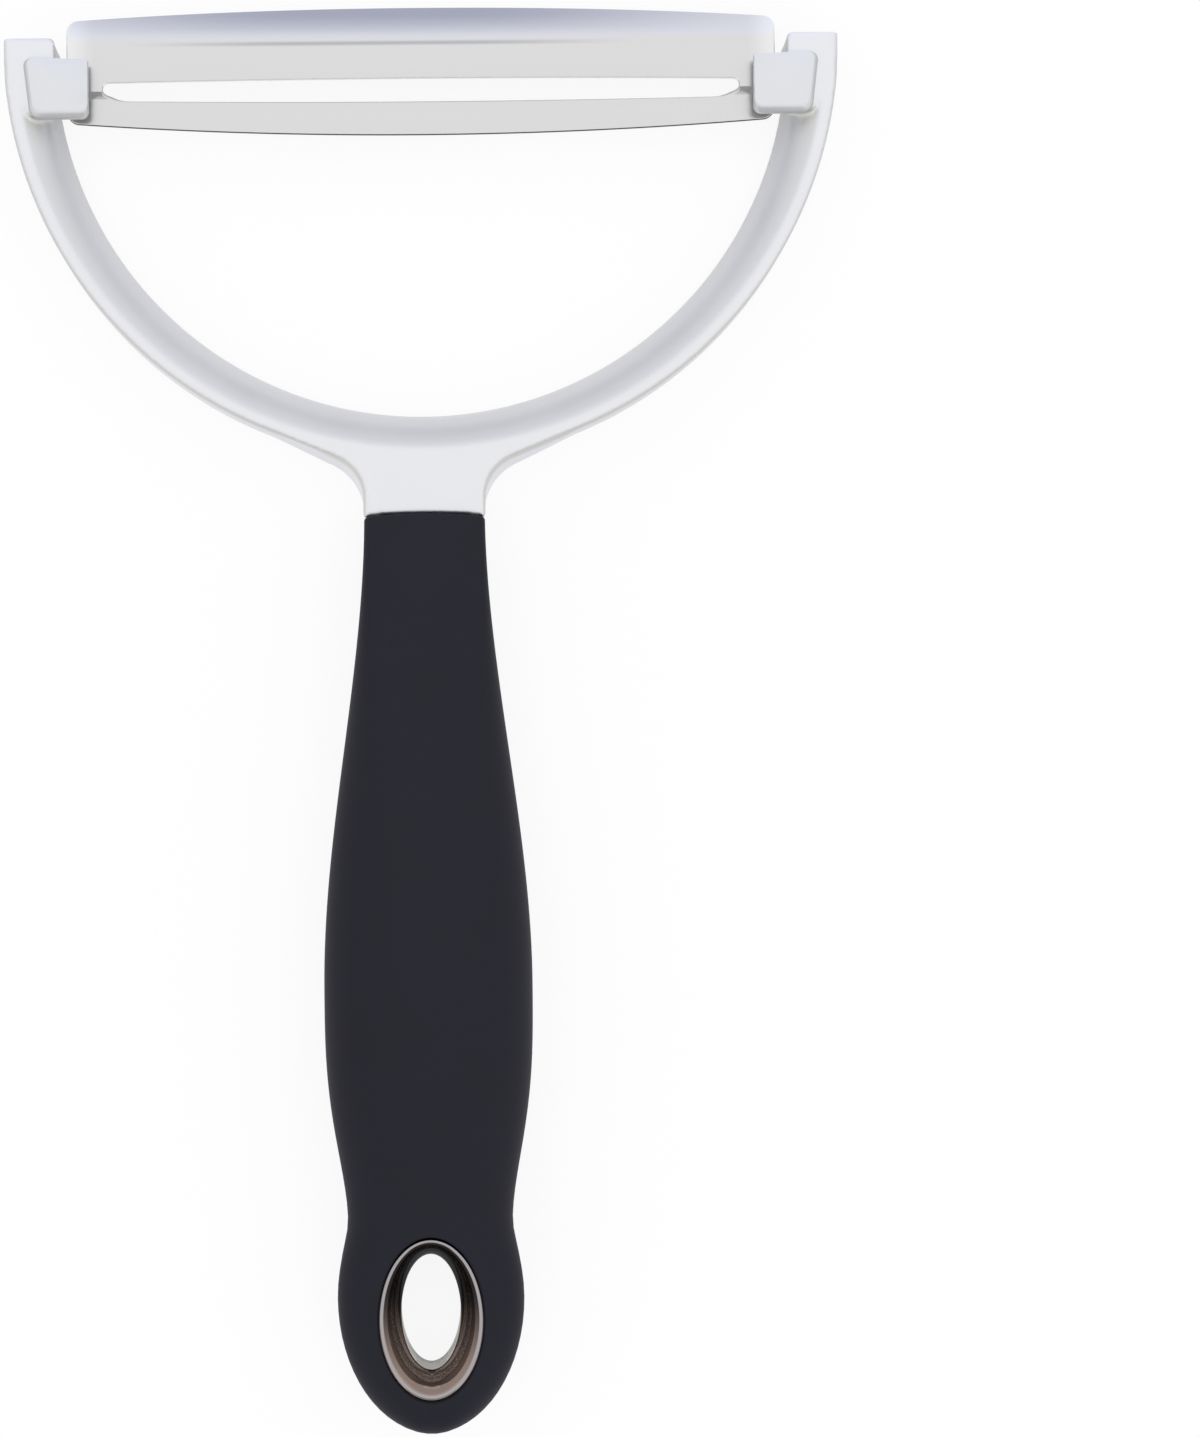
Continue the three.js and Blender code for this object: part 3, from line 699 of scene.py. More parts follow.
def fold(start, radius, angle, steps, way):
    """Bends the sheet away from the front beyond a line, in small steps.

    The line is given by its distance from the pivot line and its level and slope there.
    """
    y, z, slope = start
    turn = angle / steps
    run = radius * abs(turn)
    for _ in range(steps):
        along = Vector((0, way * math.cos(slope), -math.sin(slope)))
        hinge = Vector((0, PIVOT_Y + y, PIVOT_Z + z))
        bpy.ops.mesh.select_all(action="SELECT")
        bpy.ops.mesh.bisect(plane_co=hinge * MM, plane_no=along)
        pick(lambda at: (at - hinge).dot(along) > -FOLD_SLACK)
        bpy.ops.transform.rotate(
            value=way * turn, orient_axis="X", orient_type="GLOBAL", center_override=hinge * MM
        )
        slope += turn
        y += way * run * math.cos(slope)
        z -= run * math.sin(slope)
    return y, z, slope


def bent_sheet():
    """The blank with its cutting strip rolled back and its guide strip stepped back."""
    sheet = stamped_sheet()
    bpy.ops.object.mode_set(mode="EDIT")
    fold((ROLL_START, BLADE_FRONT, 0), ROLL_RADIUS, ROLL_ANGLE, ROLL_STEPS, 1)
    slope = math.atan2(GUIDE_STEP, STEP_RUN)
    bend = FOLD_RADIUS * slope
    start = (STEP_TOP + bend / 2, BLADE_FRONT, 0)
    y, z, now = fold(start, FOLD_RADIUS, slope, FOLD_STEPS, -1)
    flat = STEP_SLOPE - bend
    y, z = y - flat * math.cos(now), z - flat * math.sin(now)
    fold((y, z, now), FOLD_RADIUS, -slope, FOLD_STEPS, -1)
    close()
    return sheet


def cheek():
    """The right folded end: a tab that rounds about its pivot hole and runs up into the sheet."""
    outer = BLADE_HALF - CHEEK_SINK
    high = PIVOT_Z + BLADE_FRONT - SHEET / 2
    outline = [(CHEEK_RADIUS, high), (STEP_TOP, high)]
    outline += [(STEP_FOOT, high - GUIDE_STEP), (-CHEEK_RADIUS, high - GUIDE_STEP)]
    for step in range(CHEEK_STEPS + 1):
        angle = math.pi + math.pi * step / CHEEK_STEPS
        outline.append((CHEEK_RADIUS * math.cos(angle), PIVOT_Z + CHEEK_RADIUS * math.sin(angle)))
    tab = draw("cheek", [(outer, PIVOT_Y + y, z) for y, z in outline])
    push((-SHEET, 0, 0))
    close()
    ends = [(outer + out, PIVOT_Y, PIVOT_Z) for out in (-2 * SHEET, SHEET)]
    combine(tab, pin("hole", *ends, BORE_RADIUS), "DIFFERENCE")
    return tab


def mark(sheet, name, test):
    """Marks the faces whose middle, in millimetres, and normal pass a test."""
    marks = sheet.data.attributes.new(name, "FLOAT", "FACE")
    for face, value in zip(sheet.data.polygons, marks.data):
        value.value = float(test(face.center / MM, face.normal))


def lower_edge(at, normal):
    """The guide strip's lower edge, which the stamping left dull, and which is also painted near black as
    shade.
    """
    return at.y < PIVOT_Y - EDGE_BELOW / 2 and normal.y < SHEARED_TURN


def slot_edge(at, normal):
    """The slot's upper edge, which is painted near white as a highlight."""
    height = at.y - PIVOT_Y
    near = SLOT_ABOVE / 2 < height < 2 * SLOT_ABOVE and abs(at.x) < SLOT_HALF
    return near and normal.y < SHEARED_TURN


def stainless():
    """Rolled stainless sheet: a fine grain along it and faint smears, with painted light: a dark
    blue-grey painted reflection line where the roll starts, the ends painted lighter, the slot's upper
    edge painted near white as a highlight, and the lower edge rougher and painted near black as shade.
    """
    material, place, shader = finish_of("brushed_stainless")
    grain = place.stretch((30, 2600, 2600)).noise(1, 3, 0.6)
    smear = place.stretch((14, 60, 60)).noise(1, 2)
    sheared_and_shaded = place.node("ShaderNodeAttribute", {"attribute_name": "sheared_and_shaded"}, out="Fac")
    painted_slot_highlight = place.node("ShaderNodeAttribute", {"attribute_name": "painted_slot_highlight"}, out="Fac")
    # A dark blue-grey line is painted along the bend where the roll starts, as painted reflection.
    off_bend = (place.part("Y") - (PIVOT_Y + ROLL_START) * MM).size()
    off_middle = (place.part("X") - BEND_MIDDLE * MM).size()
    bend = 1 - off_bend.ease(BEND_WIDTH[0] * MM, BEND_WIDTH[1] * MM)
    bend = bend * (1 - off_middle.ease(BEND_FADE[0] * MM, BEND_FADE[1] * MM))
    # Painted light: the steel is painted lighter towards the blade's ends.
    ends = place.part("X").size().ease((BLADE_HALF - END_LIGHT_FADE) * MM, BLADE_HALF * MM)
    steel = (0.6 * smear + 0.4 * grain).mix(STAINLESS_SHADE, STAINLESS)
    steel = bend.mix(ends.mix(steel, END_PAINTED_LIGHT), BEND_PAINTED_REFLECTION)
    wire_up(
        shader,
        place,
        {
            "Base Color": sheared_and_shaded.mix(painted_slot_highlight.mix(steel, SLOT_PAINTED_HIGHLIGHT), SHEARED_AND_SHADED_STEEL),
            "Metallic": 1.0,
            "Roughness": 0.17 + 0.08 * smear + 0.06 * grain + 0.3 * sheared_and_shaded,
            "Normal": grain.bump(0.12, 0.00003),
        },
    )
    return material


blade = bent_sheet()
tab = cheek()
for piece in (mirrored(tab), tab):
    combine(blade, piece, "UNION")
bpy.ops.object.shade_smooth_by_angle(angle=math.radians(50))
apply(blade, "WEIGHTED_NORMAL", mode="FACE_AREA", weight=80, keep_sharp=True)
mark(blade, "sheared_and_shaded", lower_edge)
mark(blade, "painted_slot_highlight", slot_edge)
blade.name = "rolled_blade"
blade.data.materials.clear()
blade.data.materials.append(stainless())
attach(blade, "blade")
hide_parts("blade")

# Trunnions: two turned steel pins, one at each end of the blade.
# Each has a rivet head inside the cheek, a shank through it, a collar outside it,
# and a journal that runs in the ear's blind bore.
JOURNAL_RADIUS = 1.2
COLLAR_RADIUS = 2.0
RIVET_RADIUS = 1.7
RIVET_HEAD = 0.7
PIN_GAP = 0.1
END_PLAY = 0.25
JOURNAL_LENGTH = 4.5
PIN_CHAMFER = 0.2
PIN_SIDES = 48
PIVOT_STEEL = (0.62, 0.62, 0.63, 1)
PIVOT_STEEL_SHADE = (0.52, 0.52, 0.53, 1)


def stack(name, rings, sides, turn):
    """A skin over rings, each a centre and a scale in millimetres, left open in edit mode."""
    centre, scale = rings[0]
    bpy.ops.object.select_all(action="DESELECT")
    bpy.ops.mesh.primitive_circle_add(vertices=sides, radius=MM, rotation=turn)
    bpy.ops.object.transform_apply(location=True, rotation=True, scale=True)
    bpy.context.object.name = name
    bpy.ops.object.mode_set(mode="EDIT")
    bpy.ops.transform.resize(value=scale, center_override=(0, 0, 0))
    bpy.ops.transform.translate(value=Vector(centre) * MM)
    for (here, was), (there, now) in zip(rings, rings[1:]):
        push(Vector(there) - Vector(here))
        ratio = [new / old for new, old in zip(now, was)]
        bpy.ops.transform.resize(value=ratio, center_override=Vector(there) * MM)
    return bpy.context.object


def trunnion():
    """The right pin, turned about the pivot line from its rivet head out to its tip."""
    head_end = BLADE_HALF - SHEET - PIN_GAP
    collar_start = BLADE_HALF + PIN_GAP
    collar_end = EAR_INNER - END_PLAY
    tip = EAR_INNER + JOURNAL_LENGTH
    cut = PIN_CHAMFER
    profile = [
        (head_end - RIVET_HEAD, RIVET_RADIUS - 3 * cut),
        (head_end - RIVET_HEAD + cut / 2, RIVET_RADIUS - cut),
        (head_end - RIVET_HEAD / 2, RIVET_RADIUS),
        (head_end, RIVET_RADIUS),
        (head_end, JOURNAL_RADIUS),
        (collar_start, JOURNAL_RADIUS),
        (collar_start, COLLAR_RADIUS - cut),
        (collar_start + cut, COLLAR_RADIUS),
        (collar_end - cut, COLLAR_RADIUS),
        (collar_end, COLLAR_RADIUS - cut),
        (collar_end, JOURNAL_RADIUS),
        (tip - cut, JOURNAL_RADIUS),
        (tip, JOURNAL_RADIUS - cut),
    ]
    rings = [((x, PIVOT_Y, PIVOT_Z), (1, radius, radius)) for x, radius in profile]
    turned = stack("right_trunnion_pin", rings, PIN_SIDES, (0, math.pi / 2, 0))
    bpy.ops.mesh.edge_face_add()
    pick(lambda at: at.x < head_end - RIVET_HEAD + SAME_PLACE)
    bpy.ops.mesh.edge_face_add()
    close()
    bpy.ops.object.shade_smooth_by_angle(angle=math.radians(30))
    return turned


def turned_steel():
    """Turned steel: fine tool rings round the pin's axis."""
    material, place, shader = finish_of("turned_steel")
    tool_marks = place.stretch((9000, 300, 300)).noise(1, 1)
    wire_up(
        shader,
        place,
        {
            "Base Color": tool_marks.mix(PIVOT_STEEL_SHADE, PIVOT_STEEL),
            "Metallic": 1.0,
            "Roughness": 0.24 + 0.12 * tool_marks,
            "Normal": tool_marks.bump(0.2, 0.00003),
        },
    )
    return material


right_pin = trunnion()
right_pin.data.materials.append(turned_steel())
left_pin = mirrored(right_pin)
left_pin.name = "left_trunnion_pin"
for turned, node in ((left_pin, "left_trunnion"), (right_pin, "right_trunnion")):
    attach(turned, "blade")
    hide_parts(node)

# Handle core: hard plastic moulded round the tang, with pegs through the tang's holes.
# The soft grip covers all of it, so it keeps the solid it has.
CORE_PLASTIC = (0.03, 0.03, 0.034, 1)
CORE_PLASTIC_SHADE = (0.022, 0.022, 0.026, 1)


def core_plastic():
    """Plain moulded plastic with a faint spark-eroded texture."""
    material, place, shader = finish_of("moulded_core_plastic")
    texture = place.noise(1800, 2)
    wire_up(
        shader,
        place,
        {
            "Base Color": texture.mix(CORE_PLASTIC_SHADE, CORE_PLASTIC),
            "Roughness": 0.5 + 0.15 * texture,
            "Normal": texture.bump(0.2, 0.00005),
        },
    )
    return material


core = frame["nodes"]["handle_core"]
core.data.materials.clear()
core.data.materials.append(core_plastic())

# Soft grip: a black thermoplastic skin moulded over the core.
# It is a rounded box at the neck and eases into an oval with a belly, a waist and a round end.
# The flat front narrows to nothing on the way down, and an oval hole takes the eyelet.
BELLY_AT = 69.3
WAIST_AT = 103.9
BULB_AT = 114.9
BULB_REACH = 19.85
GRIP_SKIN = 1.5
GRIP_LIP = 1.2
FLAT_FROM = 10.0
FLAT_TO = 46.0
SIDE_FLAT_FROM = 4.0
SIDE_FLAT_TO = 40.0
SMALLEST_ROUND = 0.4
GRIP_SIDES = 72
GRIP_STEPS = 58
END_STEPS = 16
END_TURN = math.radians(88.5)
SECTION_SLACK = 1e-6
TOP_ROUND = 0.6
TOP_ROUND_STEPS = 4
ARCH_DROP = 0.6
ARCH_REACH = (-20, 40)
ARCH_SIDES = 512
TANG_ROOM_BELOW = 10
TANG_ROOM_ABOVE = 5
EYELET_Y = HANDLE_TOP - 117.25
EYELET_HOLE = (7.62, 11.96)
HOLE_RECESS = ((0.25, 0.08), (0.12, 0.22))
PUNCH_REACH = (-5, 30)
PUNCH_SIDES = 96
FIT_GAP = 0.3
SOFT_BLACK = (0.0118, 0.0116, 0.0205, 1)
SOFT_BLACK_SHADE = (0.0085, 0.0085, 0.014, 1)

# Where the section is set: distance below the top, half width, front, back, flat half widths
# of the front and of the sides, and how long the section above holds on.
SECTIONS = [
    (0.0, 8.875, 10.77, 0.6, 7.9, 3.7, 1.0),
    (BELLY_AT, 15.3, 19.0, 0.0, 1.6, 0.0, 0.98),
    (WAIST_AT, 12.1, 16.4, 1.4, 2.4, 0.6, 1.65),
    (BULB_AT, 13.7, 16.2, 1.2, 3.4, 1.2, 0.75),
]


def ease(share):
    """A share from 0 to 1, eased at both ends."""
    share = min(max(share, 0), 1)
    return share * share * (3 - 2 * share)


def grip_section(at, inset):
    """A section's half width, half thickness, middle and two flats, at a distance below the top."""
    below = next(i for i in range(1, len(SECTIONS)) if at <= SECTIONS[i][0] + SECTION_SLACK)
    high, low = SECTIONS[below - 1], SECTIONS[below]
    share = ease(max(0, (at - high[0]) / (low[0] - high[0])) ** low[6])
    wide, front, back, flat, side_flat = (
        high[i] + (low[i] - high[i]) * share for i in range(1, 6)
    )
    if below == 1:
        fade = ease((at - FLAT_FROM) / (FLAT_TO - FLAT_FROM))
        flat = high[4] + (low[4] - high[4]) * fade
        fade = ease((at - SIDE_FLAT_FROM) / (SIDE_FLAT_TO - SIDE_FLAT_FROM))
        side_flat = high[5] + (low[5] - high[5]) * fade
    wide, half = wide - inset, (front - back) / 2 - inset
    flat = min(flat, wide - SMALLEST_ROUND)
    side_flat = min(side_flat, half - SMALLEST_ROUND)
    return wide, half, (front + back) / 2, flat, side_flat


def grip_rings(inset, start):
    """Each ring of the handle, drawn in by an inset: its place along Y and its section."""
    rings = []
    for step in range(GRIP_STEPS + 1):
        at = start + (BULB_AT - start) * step / GRIP_STEPS
        rings.append((HANDLE_TOP - at, *grip_section(at, inset)))
    wide, half, middle, flat, side_flat = grip_section(BULB_AT, inset)
    for step in range(1, END_STEPS + 1):
        angle = END_TURN * step / END_STEPS
        reach = (BULB_REACH - inset) * math.sin(angle) / math.sin(END_TURN)
        narrow = math.cos(angle)
        thin = (1 - math.sin(angle) ** 4) ** 0.25
        section = (wide * narrow, half * thin, middle, flat * narrow, side_flat * thin)
        rings.append((HANDLE_TOP - BULB_AT - reach, *section))
    return rings


def fit_ring(was, now):
    """Takes the lowest ring from one section to the next, by its four quarter rounds."""
    y, wide, half, middle, flat, side_flat = now
    _, wide_was, half_was, middle_was, flat_was, side_flat_was = was
    widen = (wide - flat) / (wide_was - flat_was)
    thicken = (half - side_flat) / (half_was - side_flat_was)
    for across in (-1, 1):
        for up in (-1, 1):
            pick(
                lambda at: at.y < y + SAME_PLACE
                and at.x * across > 0
                and (at.z - middle_was) * up > 0
            )
            old = Vector((across * flat_was, y, middle_was + up * side_flat_was)) * MM
            new = Vector((across * flat, y, middle + up * side_flat)) * MM
            bpy.ops.transform.resize(value=(widen, 1, thicken), center_override=old)
            bpy.ops.transform.translate(value=new - old)
    pick(lambda at: at.y < y + SAME_PLACE)


def handle_shape(name, inset, start):
    """The handle's closed shape: a ring extruded from its top to its round end."""
    rings = grip_rings(inset, start)
    top, middle = rings[0][0], rings[0][3]
    half_side = math.pi / GRIP_SIDES
    bpy.ops.object.select_all(action="DESELECT")
    bpy.ops.mesh.primitive_circle_add(
        vertices=GRIP_SIDES,
        radius=MM,
        location=Vector((0, top, middle)) * MM,
        rotation=(math.pi / 2, half_side, 0),
    )
    bpy.ops.object.transform_apply(location=True, rotation=True, scale=True)
    bpy.context.object.name = name
    bpy.ops.object.mode_set(mode="EDIT")
    fit_ring((top, 1, 1, middle, 0, 0), rings[0])
    for was, now in zip(rings, rings[1:]):
        push((0, now[0] - was[0], 0))
        fit_ring(was, now)
    bpy.ops.mesh.edge_face_add()
    pick(lambda at: at.y > top - SAME_PLACE)
    bpy.ops.mesh.edge_face_add()
    close()
    return bpy.context.object


def oval_punch(name, half_x, half_y):
    """A tall oval bar through the handle at the eyelet's place."""
    rings = [((0, EYELET_Y, z), (half_x, half_y, 1)) for z in PUNCH_REACH]
    punch = stack(name, rings, PUNCH_SIDES, (0, 0, 0))
    bpy.ops.mesh.edge_face_add()
    pick(lambda at: at.z < 0)
    bpy.ops.mesh.edge_face_add()
    close()
    return punch


def soft_black():
    """Soft-touch black: a velvety fine texture, faint mottling, and a faint sheen."""
    material, place, shader = finish_of("soft_touch_black")
    velvet = place.noise(3200, 2, 0.65)
    mottle = place.noise(120, 3)
    wire_up(
        shader,
        place,
        {
            "Base Color": (0.7 * mottle + 0.3 * velvet).mix(SOFT_BLACK_SHADE, SOFT_BLACK),
            "Roughness": 0.52 + 0.12 * velvet + 0.08 * mottle,
            "Specular IOR Level": 0.16,
            "Sheen Weight": 0.02,
            "Sheen Roughness": 0.4,
            "Normal": velvet.bump(0.25, 0.00006),
        },
    )
    return material


grip = handle_shape("soft_grip", 0, 0)
arch_centre = HANDLE_TOP - FOOT_ARCH_RADIUS
arch_ends = [(0, arch_centre, z) for z in ARCH_REACH]
arch = pin("arch", *arch_ends, FOOT_ARCH_RADIUS, ARCH_SIDES)
combine(grip, arch, "INTERSECT")
bpy.ops.object.mode_set(mode="EDIT")
pick(lambda at: at.y > HANDLE_TOP - ARCH_DROP)
bpy.ops.mesh.dissolve_faces()
round_edges(lambda at: at.y > HANDLE_TOP - ARCH_DROP, TOP_ROUND, TOP_ROUND_STEPS)
bpy.ops.object.mode_set(mode="OBJECT")
combine(grip, handle_shape("core_room", GRIP_SKIN, GRIP_LIP), "DIFFERENCE")
wide, thick = (half + FIT_GAP for half in TANG_HALF)
tang_room = block(
    "tang_room",
    (-wide, HANDLE_TOP - TANG_ROOM_BELOW, TANG_MIDDLE - thick),
    (wide, HANDLE_TOP + TANG_ROOM_ABOVE, TANG_MIDDLE + thick),
)
close()
combine(grip, tang_room, "DIFFERENCE")
combine(grip, oval_punch("eyelet_room", *EYELET_HOLE), "DIFFERENCE")
for reach, sink in HOLE_RECESS:
    recess = oval_punch("eyelet_recess", *(half + reach for half in EYELET_HOLE))
    combine(recess, handle_shape("recess_floor", sink, 0), "DIFFERENCE")
    combine(grip, recess, "DIFFERENCE")
heal()
bpy.ops.object.shade_smooth_by_angle(angle=math.radians(35))
grip.data.materials.clear()
grip.data.materials.append(soft_black())
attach(grip, "handle")
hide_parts("grip_sleeve")

# Eyelet: two plated plastic funnels that plug together inside the handle's round end.
# The plating is a dark smoked chrome, polished, with a thin bright rim.
THROAT = (4.35, 8.45)
THROAT_SHIFT = 0.5
EYELET_WALL = 3.25
EYELET_FRONT = 16.0
EYELET_BACK = 1.4
EYELET_MIDDLE = 8.7
RIM_FLAT = 0.12
RIM_ROUND = 0.3
RIM_STEPS = 4
MOUTH_DEPTH = 4.0
MOUTH_CURVE = 1.7
MOUTH_STEPS = 16
SPIGOT_WALL = 1.2
SPIGOT_LENGTH = 2.0
EYELET_SIDES = 112
RIM_CHROME = (0.30, 0.28, 0.29, 1)
SMOKED_CHROME = (0.29, 0.22, 0.19, 1)
SMOKED_CHROME_SHADE = (0.22, 0.17, 0.145, 1)
# Painted shade: the funnels are painted near black towards the top and in a thin ring where the mouth
# meets the throat.
PAINTED_SHADE_CHROME = (0.02, 0.017, 0.016, 1)
PAINTED_SHADE_FROM = -9.0
PAINTED_SHADE_TO = 5.0
# Painted reflection: the throat is painted near white.
THROAT_PAINTED_LIGHT = (0.95, 0.95, 0.94, 1)
PLATING_TINT = (0.3, 0.28, 0.26, 1)
SHADE_RING_WIDTH = 0.5
RUBBED_DEPTH = (0.02, 0.07)


def funnel(name, profile):
    """An oval hoop from a closed profile of (distance out from the throat, height)."""
    rings = []
    for out, z in profile:
        shift = THROAT_SHIFT * max(0, 1 - out / EYELET_WALL)
        rings.append(((0, EYELET_Y + shift, z), (THROAT[0] + out, THROAT[1] + out, 1)))
    hoop = stack(name, rings + rings[:1], EYELET_SIDES, (0, 0, 0))
    close()
    bpy.ops.object.shade_smooth_by_angle(angle=math.radians(24))
    return hoop


def rim(out, face, way):
    """A rim's rounded outer edge, from its wall in to its flat."""
    points = []
    for step in range(RIM_STEPS + 1):
        angle = math.pi / 2 * step / RIM_STEPS
        inwards = RIM_ROUND * (1 - math.cos(angle))
        points.append((out - inwards, face - way * RIM_ROUND * (1 - math.sin(angle))))
    return points


def mouth(throat, face):
    """A funnel's mouth from its rim down to its throat, steeper all the way."""
    width = EYELET_WALL - RIM_ROUND - RIM_FLAT
    points = []
    for step in range(MOUTH_STEPS + 1):
        share = step / MOUTH_STEPS
        points.append((width * (1 - share), face + (throat - face) * share**MOUTH_CURVE))
    return points


def smoked_chrome():
    """Dark smoked plating: nearly a mirror, with faint ripples from the plastic and fine wear. It is
    painted near black towards the top and in a thin ring at the mouth's foot as painted shade, and near
    white in the throat as painted reflection.
    """
    material, place, shader = finish_of("smoked_chrome")
    ripple = place.noise(220, 2)
    wear = place.noise(2400, 3, 0.7)
    smoked = (0.7 * ripple + 0.3 * wear).mix(SMOKED_CHROME_SHADE, SMOKED_CHROME)
    # Painted shade: the plating is painted near black towards the top.
    upper = place.part("Y").ease((EYELET_Y + PAINTED_SHADE_FROM) * MM, (EYELET_Y + PAINTED_SHADE_TO) * MM)
    smoked = upper.mix(smoked, PAINTED_SHADE_CHROME)
    from_middle = (place.part("Z") - EYELET_MIDDLE * MM).size()
    rim_level = EYELET_FRONT - EYELET_MIDDLE
    lip_level = rim_level - MOUTH_DEPTH
    # Painted shade: a thin ring is painted near black where the mouth meets the throat.
    above_lip = from_middle.ease(lip_level * MM, (lip_level + SHADE_RING_WIDTH) * MM)
    in_mouth = from_middle.ease((lip_level - SHADE_RING_WIDTH / 2) * MM, lip_level * MM)
    # Painted reflection: below the mouth the throat is painted near white.
    smoked = in_mouth.mix(THROAT_PAINTED_LIGHT, above_lip.mix(PAINTED_SHADE_CHROME, smoked))
    rub = from_middle.ease((rim_level - RUBBED_DEPTH[1]) * MM, (rim_level - RUBBED_DEPTH[0]) * MM)
    wire_up(
        shader,
        place,
        {
            "Base Color": rub.mix(smoked, RIM_CHROME),
            "Metallic": 0.8,
            "Roughness": 0.06 + 0.05 * wear,
            "Specular Tint": PLATING_TINT,
            "Normal": ripple.bump(0.08, 0.0002),
        },
    )
    return material


plating = smoked_chrome()
front_profile = [
    (EYELET_WALL, EYELET_MIDDLE),
    *rim(EYELET_WALL, EYELET_FRONT, 1),
    *mouth(EYELET_FRONT - MOUTH_DEPTH, EYELET_FRONT),
    (0, EYELET_MIDDLE - SPIGOT_LENGTH),
    (SPIGOT_WALL, EYELET_MIDDLE - SPIGOT_LENGTH),
    (SPIGOT_WALL, EYELET_MIDDLE),
]
socket_wall = SPIGOT_WALL + FIT_GAP
socket_floor = EYELET_MIDDLE - SPIGOT_LENGTH - FIT_GAP
rear_profile = [
    (EYELET_WALL, EYELET_MIDDLE - FIT_GAP),
    *rim(EYELET_WALL, EYELET_BACK, -1),
    *mouth(EYELET_BACK + MOUTH_DEPTH - FIT_GAP, EYELET_BACK),
    (0, socket_floor),
    (socket_wall, socket_floor),
    (socket_wall, EYELET_MIDDLE - FIT_GAP),
]
for name, profile in (("eyelet_front", front_profile), ("eyelet_rear", rear_profile)):
    hoop = funnel(name + "_funnel", profile)
    hoop.data.materials.append(plating)
    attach(hoop, "handle")
    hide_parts(name)

# Table: a large matt white sheet below the peeler, in a bright white room.
# The camera sees it as plain white, and the metal mirrors it a little darker near the blade: painted
# shade that only reflections see.
FLOOR_DROP = -1.6
FLOOR_SIZE = 6.0
FLOOR_WHITE = (0.85, 0.85, 0.85, 1)
FLOOR_ROUGHNESS = 0.9
SEEN_WHITE = 0.88
MIRRORED_WHITE = (0.45, 0.88)
MIRRORED_FADE = (48.0, 75.0)


def seen(place, by_camera, by_mirror):
    """How far the camera, and a reflection or glass, see the table as plain white."""
    camera, glossy, glass = (
        place.node("ShaderNodeLightPath", out=ray)
        for ray in ("Is Camera Ray", "Is Glossy Ray", "Is Transmission Ray")
    )
    return by_camera * camera + by_mirror * glossy + by_mirror * glass


bpy.ops.object.select_all(action="DESELECT")
bpy.ops.mesh.primitive_plane_add(size=FLOOR_SIZE, location=(0, 0, FLOOR_DROP * MM))
floor = bpy.context.object
floor.name = "table"
material, place, shader = finish_of("white_table")
wire_up(shader, place, {"Base Color": FLOOR_WHITE, "Roughness": FLOOR_ROUGHNESS})
tree = place.tree
glow = place.node("ShaderNodeEmission", {}, {"Color": (1, 1, 1, 1), "Strength": 1.0})
# Painted shade: reflections see the table darker near the blade.
shade_by_blade = place.part("Y").ease(MIRRORED_FADE[0] * MM, MIRRORED_FADE[1] * MM)
mirrored_white = MIRRORED_WHITE[1] + (MIRRORED_WHITE[0] - MIRRORED_WHITE[1]) * shade_by_blade
mixed = place.node(
    "ShaderNodeMixShader",
    {},
    {0: seen(place, SEEN_WHITE, mirrored_white), 1: Wire(tree, shader.outputs[0]), 2: glow},
)
tree.links.new(mixed.socket, tree.nodes["Material Output"].inputs["Surface"])
floor.data.materials.append(material)

world = bpy.data.worlds.new("studio")
bpy.context.scene.world = world
world.use_nodes = True
background = world.node_tree.nodes["Background"]
background.inputs["Color"].default_value = (1, 1, 1, 1)
background.inputs["Strength"].default_value = 1.0

# Reflector: a glowing panel on the table just beyond the blade, outside the picture.
# It is a darker blue-grey at its foot and in its middle. The rolled strip mirrors it.
PANEL_THICK = 0.2
PANEL_FOOT = 107.5
PANEL_BACK = 132.0
PANEL_TOP = 72.0
PANEL_RISE = (8.0, 62.0)
PANEL_HALF = 90.0
PANEL_MIDDLE = -6.0
PANEL_FADE = (12.0, 75.0)
PANEL_DARK = (0.69, 0.725, 0.895, 1)
PANEL_LIGHT = (1.34, 1.37, 1.5, 1)


def mirror_only(prop):
    """Puts a prop in the studio that only reflections see."""
    prop.visible_camera = False
    prop.visible_diffuse = False
    prop.visible_shadow = False


panel = block(
    "panel",
    (-PANEL_HALF, PANEL_FOOT, FLOOR_DROP),
    (PANEL_HALF, PANEL_BACK, FLOOR_DROP + PANEL_THICK),
)
pick(lambda at: at.y > PANEL_BACK - SAME_PLACE)
push((0, PANEL_THICK, 0))
pick(lambda at: at.y > PANEL_BACK - SAME_PLACE and at.z > FLOOR_DROP + SAME_PLACE)
push((0, 0, PANEL_TOP))
close()
material, place, shader = finish_of("blue_grey_glow")
off_middle = (place.part("X") - PANEL_MIDDLE * MM).size()
sideways = off_middle.ease(PANEL_FADE[0] * MM, PANEL_FADE[1] * MM)
upwards = place.node(
    "ShaderNodeMapRange",
    {},
    {"Value": place.part("Z"), "From Min": PANEL_RISE[0] * MM, "From Max": PANEL_RISE[1] * MM},
)
lighter = sideways + upwards - sideways * upwards
panel_glow = lighter.mix(PANEL_DARK, PANEL_LIGHT)
shine = place.node("ShaderNodeEmission", {}, {"Color": panel_glow, "Strength": 1.0})
place.tree.links.new(shine.socket, place.tree.nodes["Material Output"].inputs["Surface"])
panel.data.materials.append(material)
mirror_only(panel)

# Dark card: it stands beyond the handle's end, outside the picture.
# The step between the blade's strips mirrors it as a darker line.
CARD_PLACE = (0, -0.42, 0.31)
CARD_SIZE = (0.4, 1, 0.38)
CARD_TURN = (math.pi / 2, 0, 0)
CARD_DARK = (0.36, 0.36, 0.365, 1)

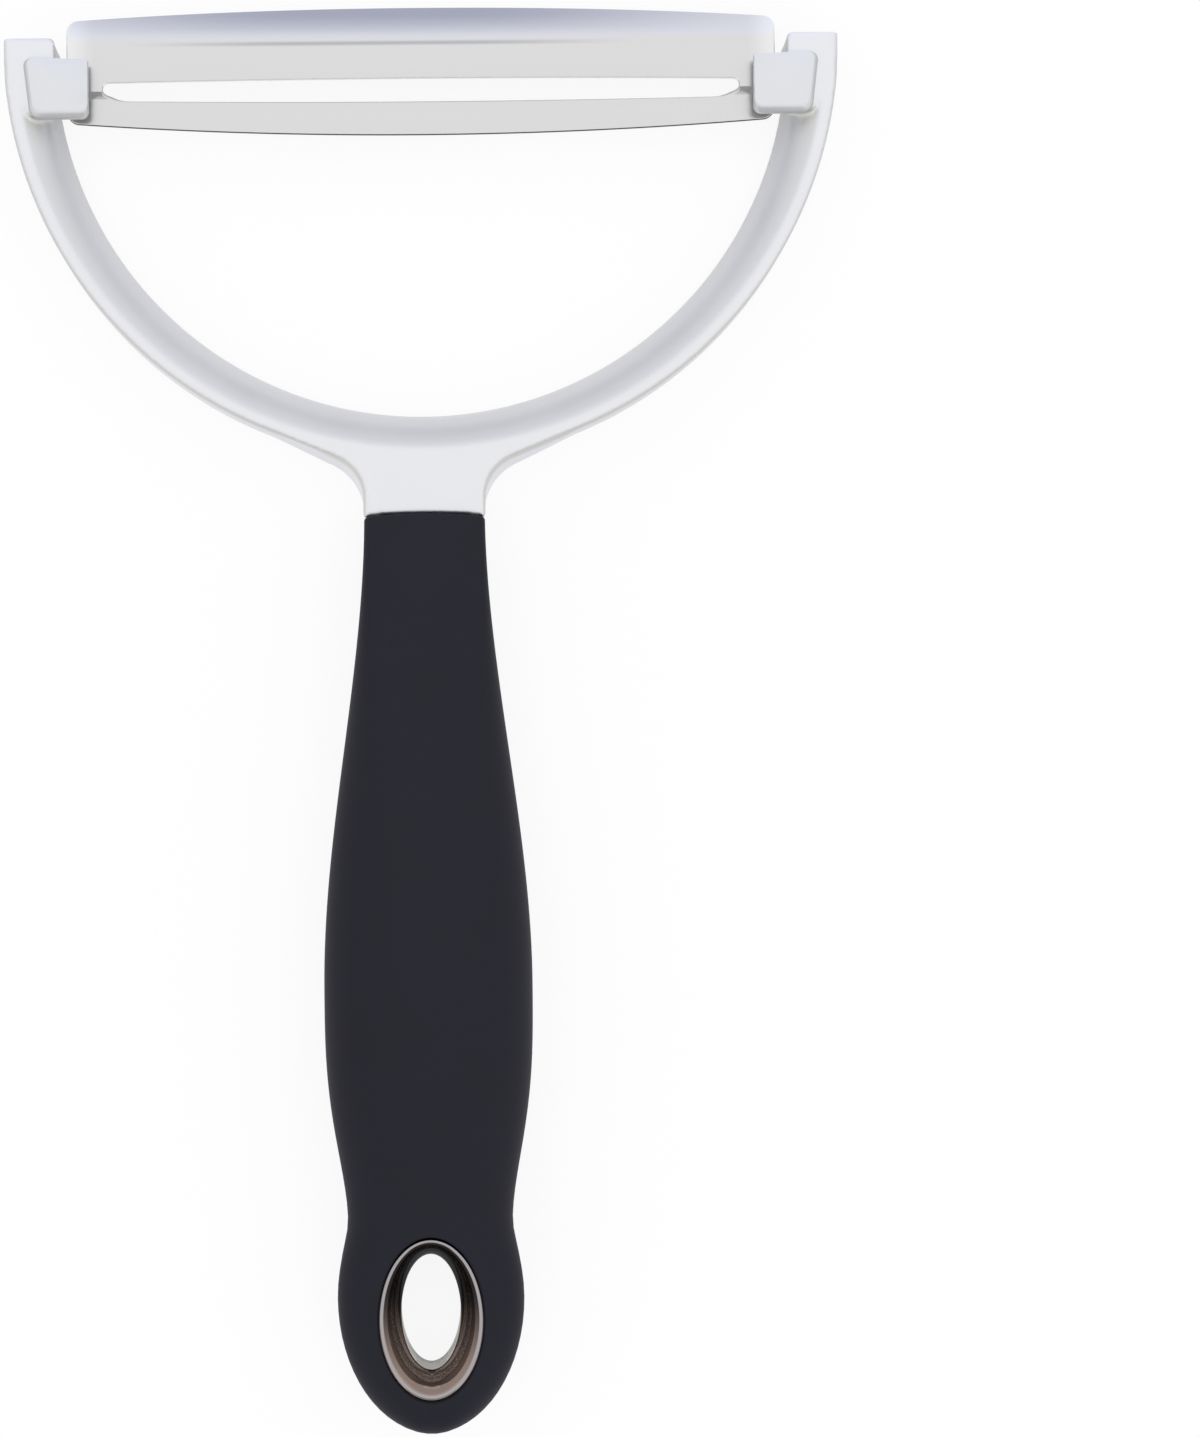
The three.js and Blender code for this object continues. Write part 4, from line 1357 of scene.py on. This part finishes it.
bpy.ops.object.select_all(action="DESELECT")
bpy.ops.mesh.primitive_plane_add(size=1, location=CARD_PLACE, rotation=CARD_TURN)
card = bpy.context.object
card.name = "near_card"
bpy.ops.object.mode_set(mode="EDIT")
bpy.ops.transform.resize(value=CARD_SIZE, center_override=CARD_PLACE)
bpy.ops.object.mode_set(mode="OBJECT")
material, place, shader = finish_of("near_card_finish")
wire_up(shader, place, {"Base Color": CARD_DARK, "Roughness": 1.0})
card.data.materials.append(material)
mirror_only(card)

# Soft box: one large square lamp high above the peeler, a little towards the handle's end.
# It is as wide as a window, so the shadows on the table stay faint.
SOFTBOX_SIZE = 2.2
SOFTBOX_POWER = 5.2
SOFTBOX_PLACE = (0.15, -0.3, 1.1)

softbox = bpy.data.lights.new("softbox", "AREA")
softbox.shape = "RECTANGLE"
softbox.size = SOFTBOX_SIZE
softbox.size_y = SOFTBOX_SIZE
softbox.energy = SOFTBOX_POWER
lamp = bpy.data.objects.new("softbox", softbox)
lamp.location = SOFTBOX_PLACE
bpy.context.scene.collection.objects.link(lamp)

# Camera: straight above the peeler and turned a little.
# The peeler lies left of the picture's middle, so the picture is shifted across it.
PICTURE_HEIGHT = 1437
PICTURE_MIDDLE = (600, 718.5)
PEELER_MIDDLE = (426.2, 715.4)
VIEW_HEIGHT = 0.2116
CAMERA_ABOVE = 0.5
CAMERA_TURN = -0.00845
FRONT_LEVEL = 0.008
SENSOR = 36.0

camera_data = bpy.data.cameras.new("camera")
camera_data.sensor_width = SENSOR
camera_data.lens = SENSOR * CAMERA_ABOVE / VIEW_HEIGHT
camera_data.shift_x = (PICTURE_MIDDLE[0] - PEELER_MIDDLE[0]) / PICTURE_HEIGHT
camera_data.shift_y = (PEELER_MIDDLE[1] - PICTURE_MIDDLE[1]) / PICTURE_HEIGHT
camera_data.clip_start = 0.01
camera = bpy.data.objects.new("camera", camera_data)
camera.location = (0, 0, CAMERA_ABOVE + FRONT_LEVEL)
camera.rotation_euler = (0, 0, CAMERA_TURN)
bpy.context.scene.collection.objects.link(camera)
bpy.context.scene.camera = camera
bpy.context.scene.view_settings.view_transform = "Standard"
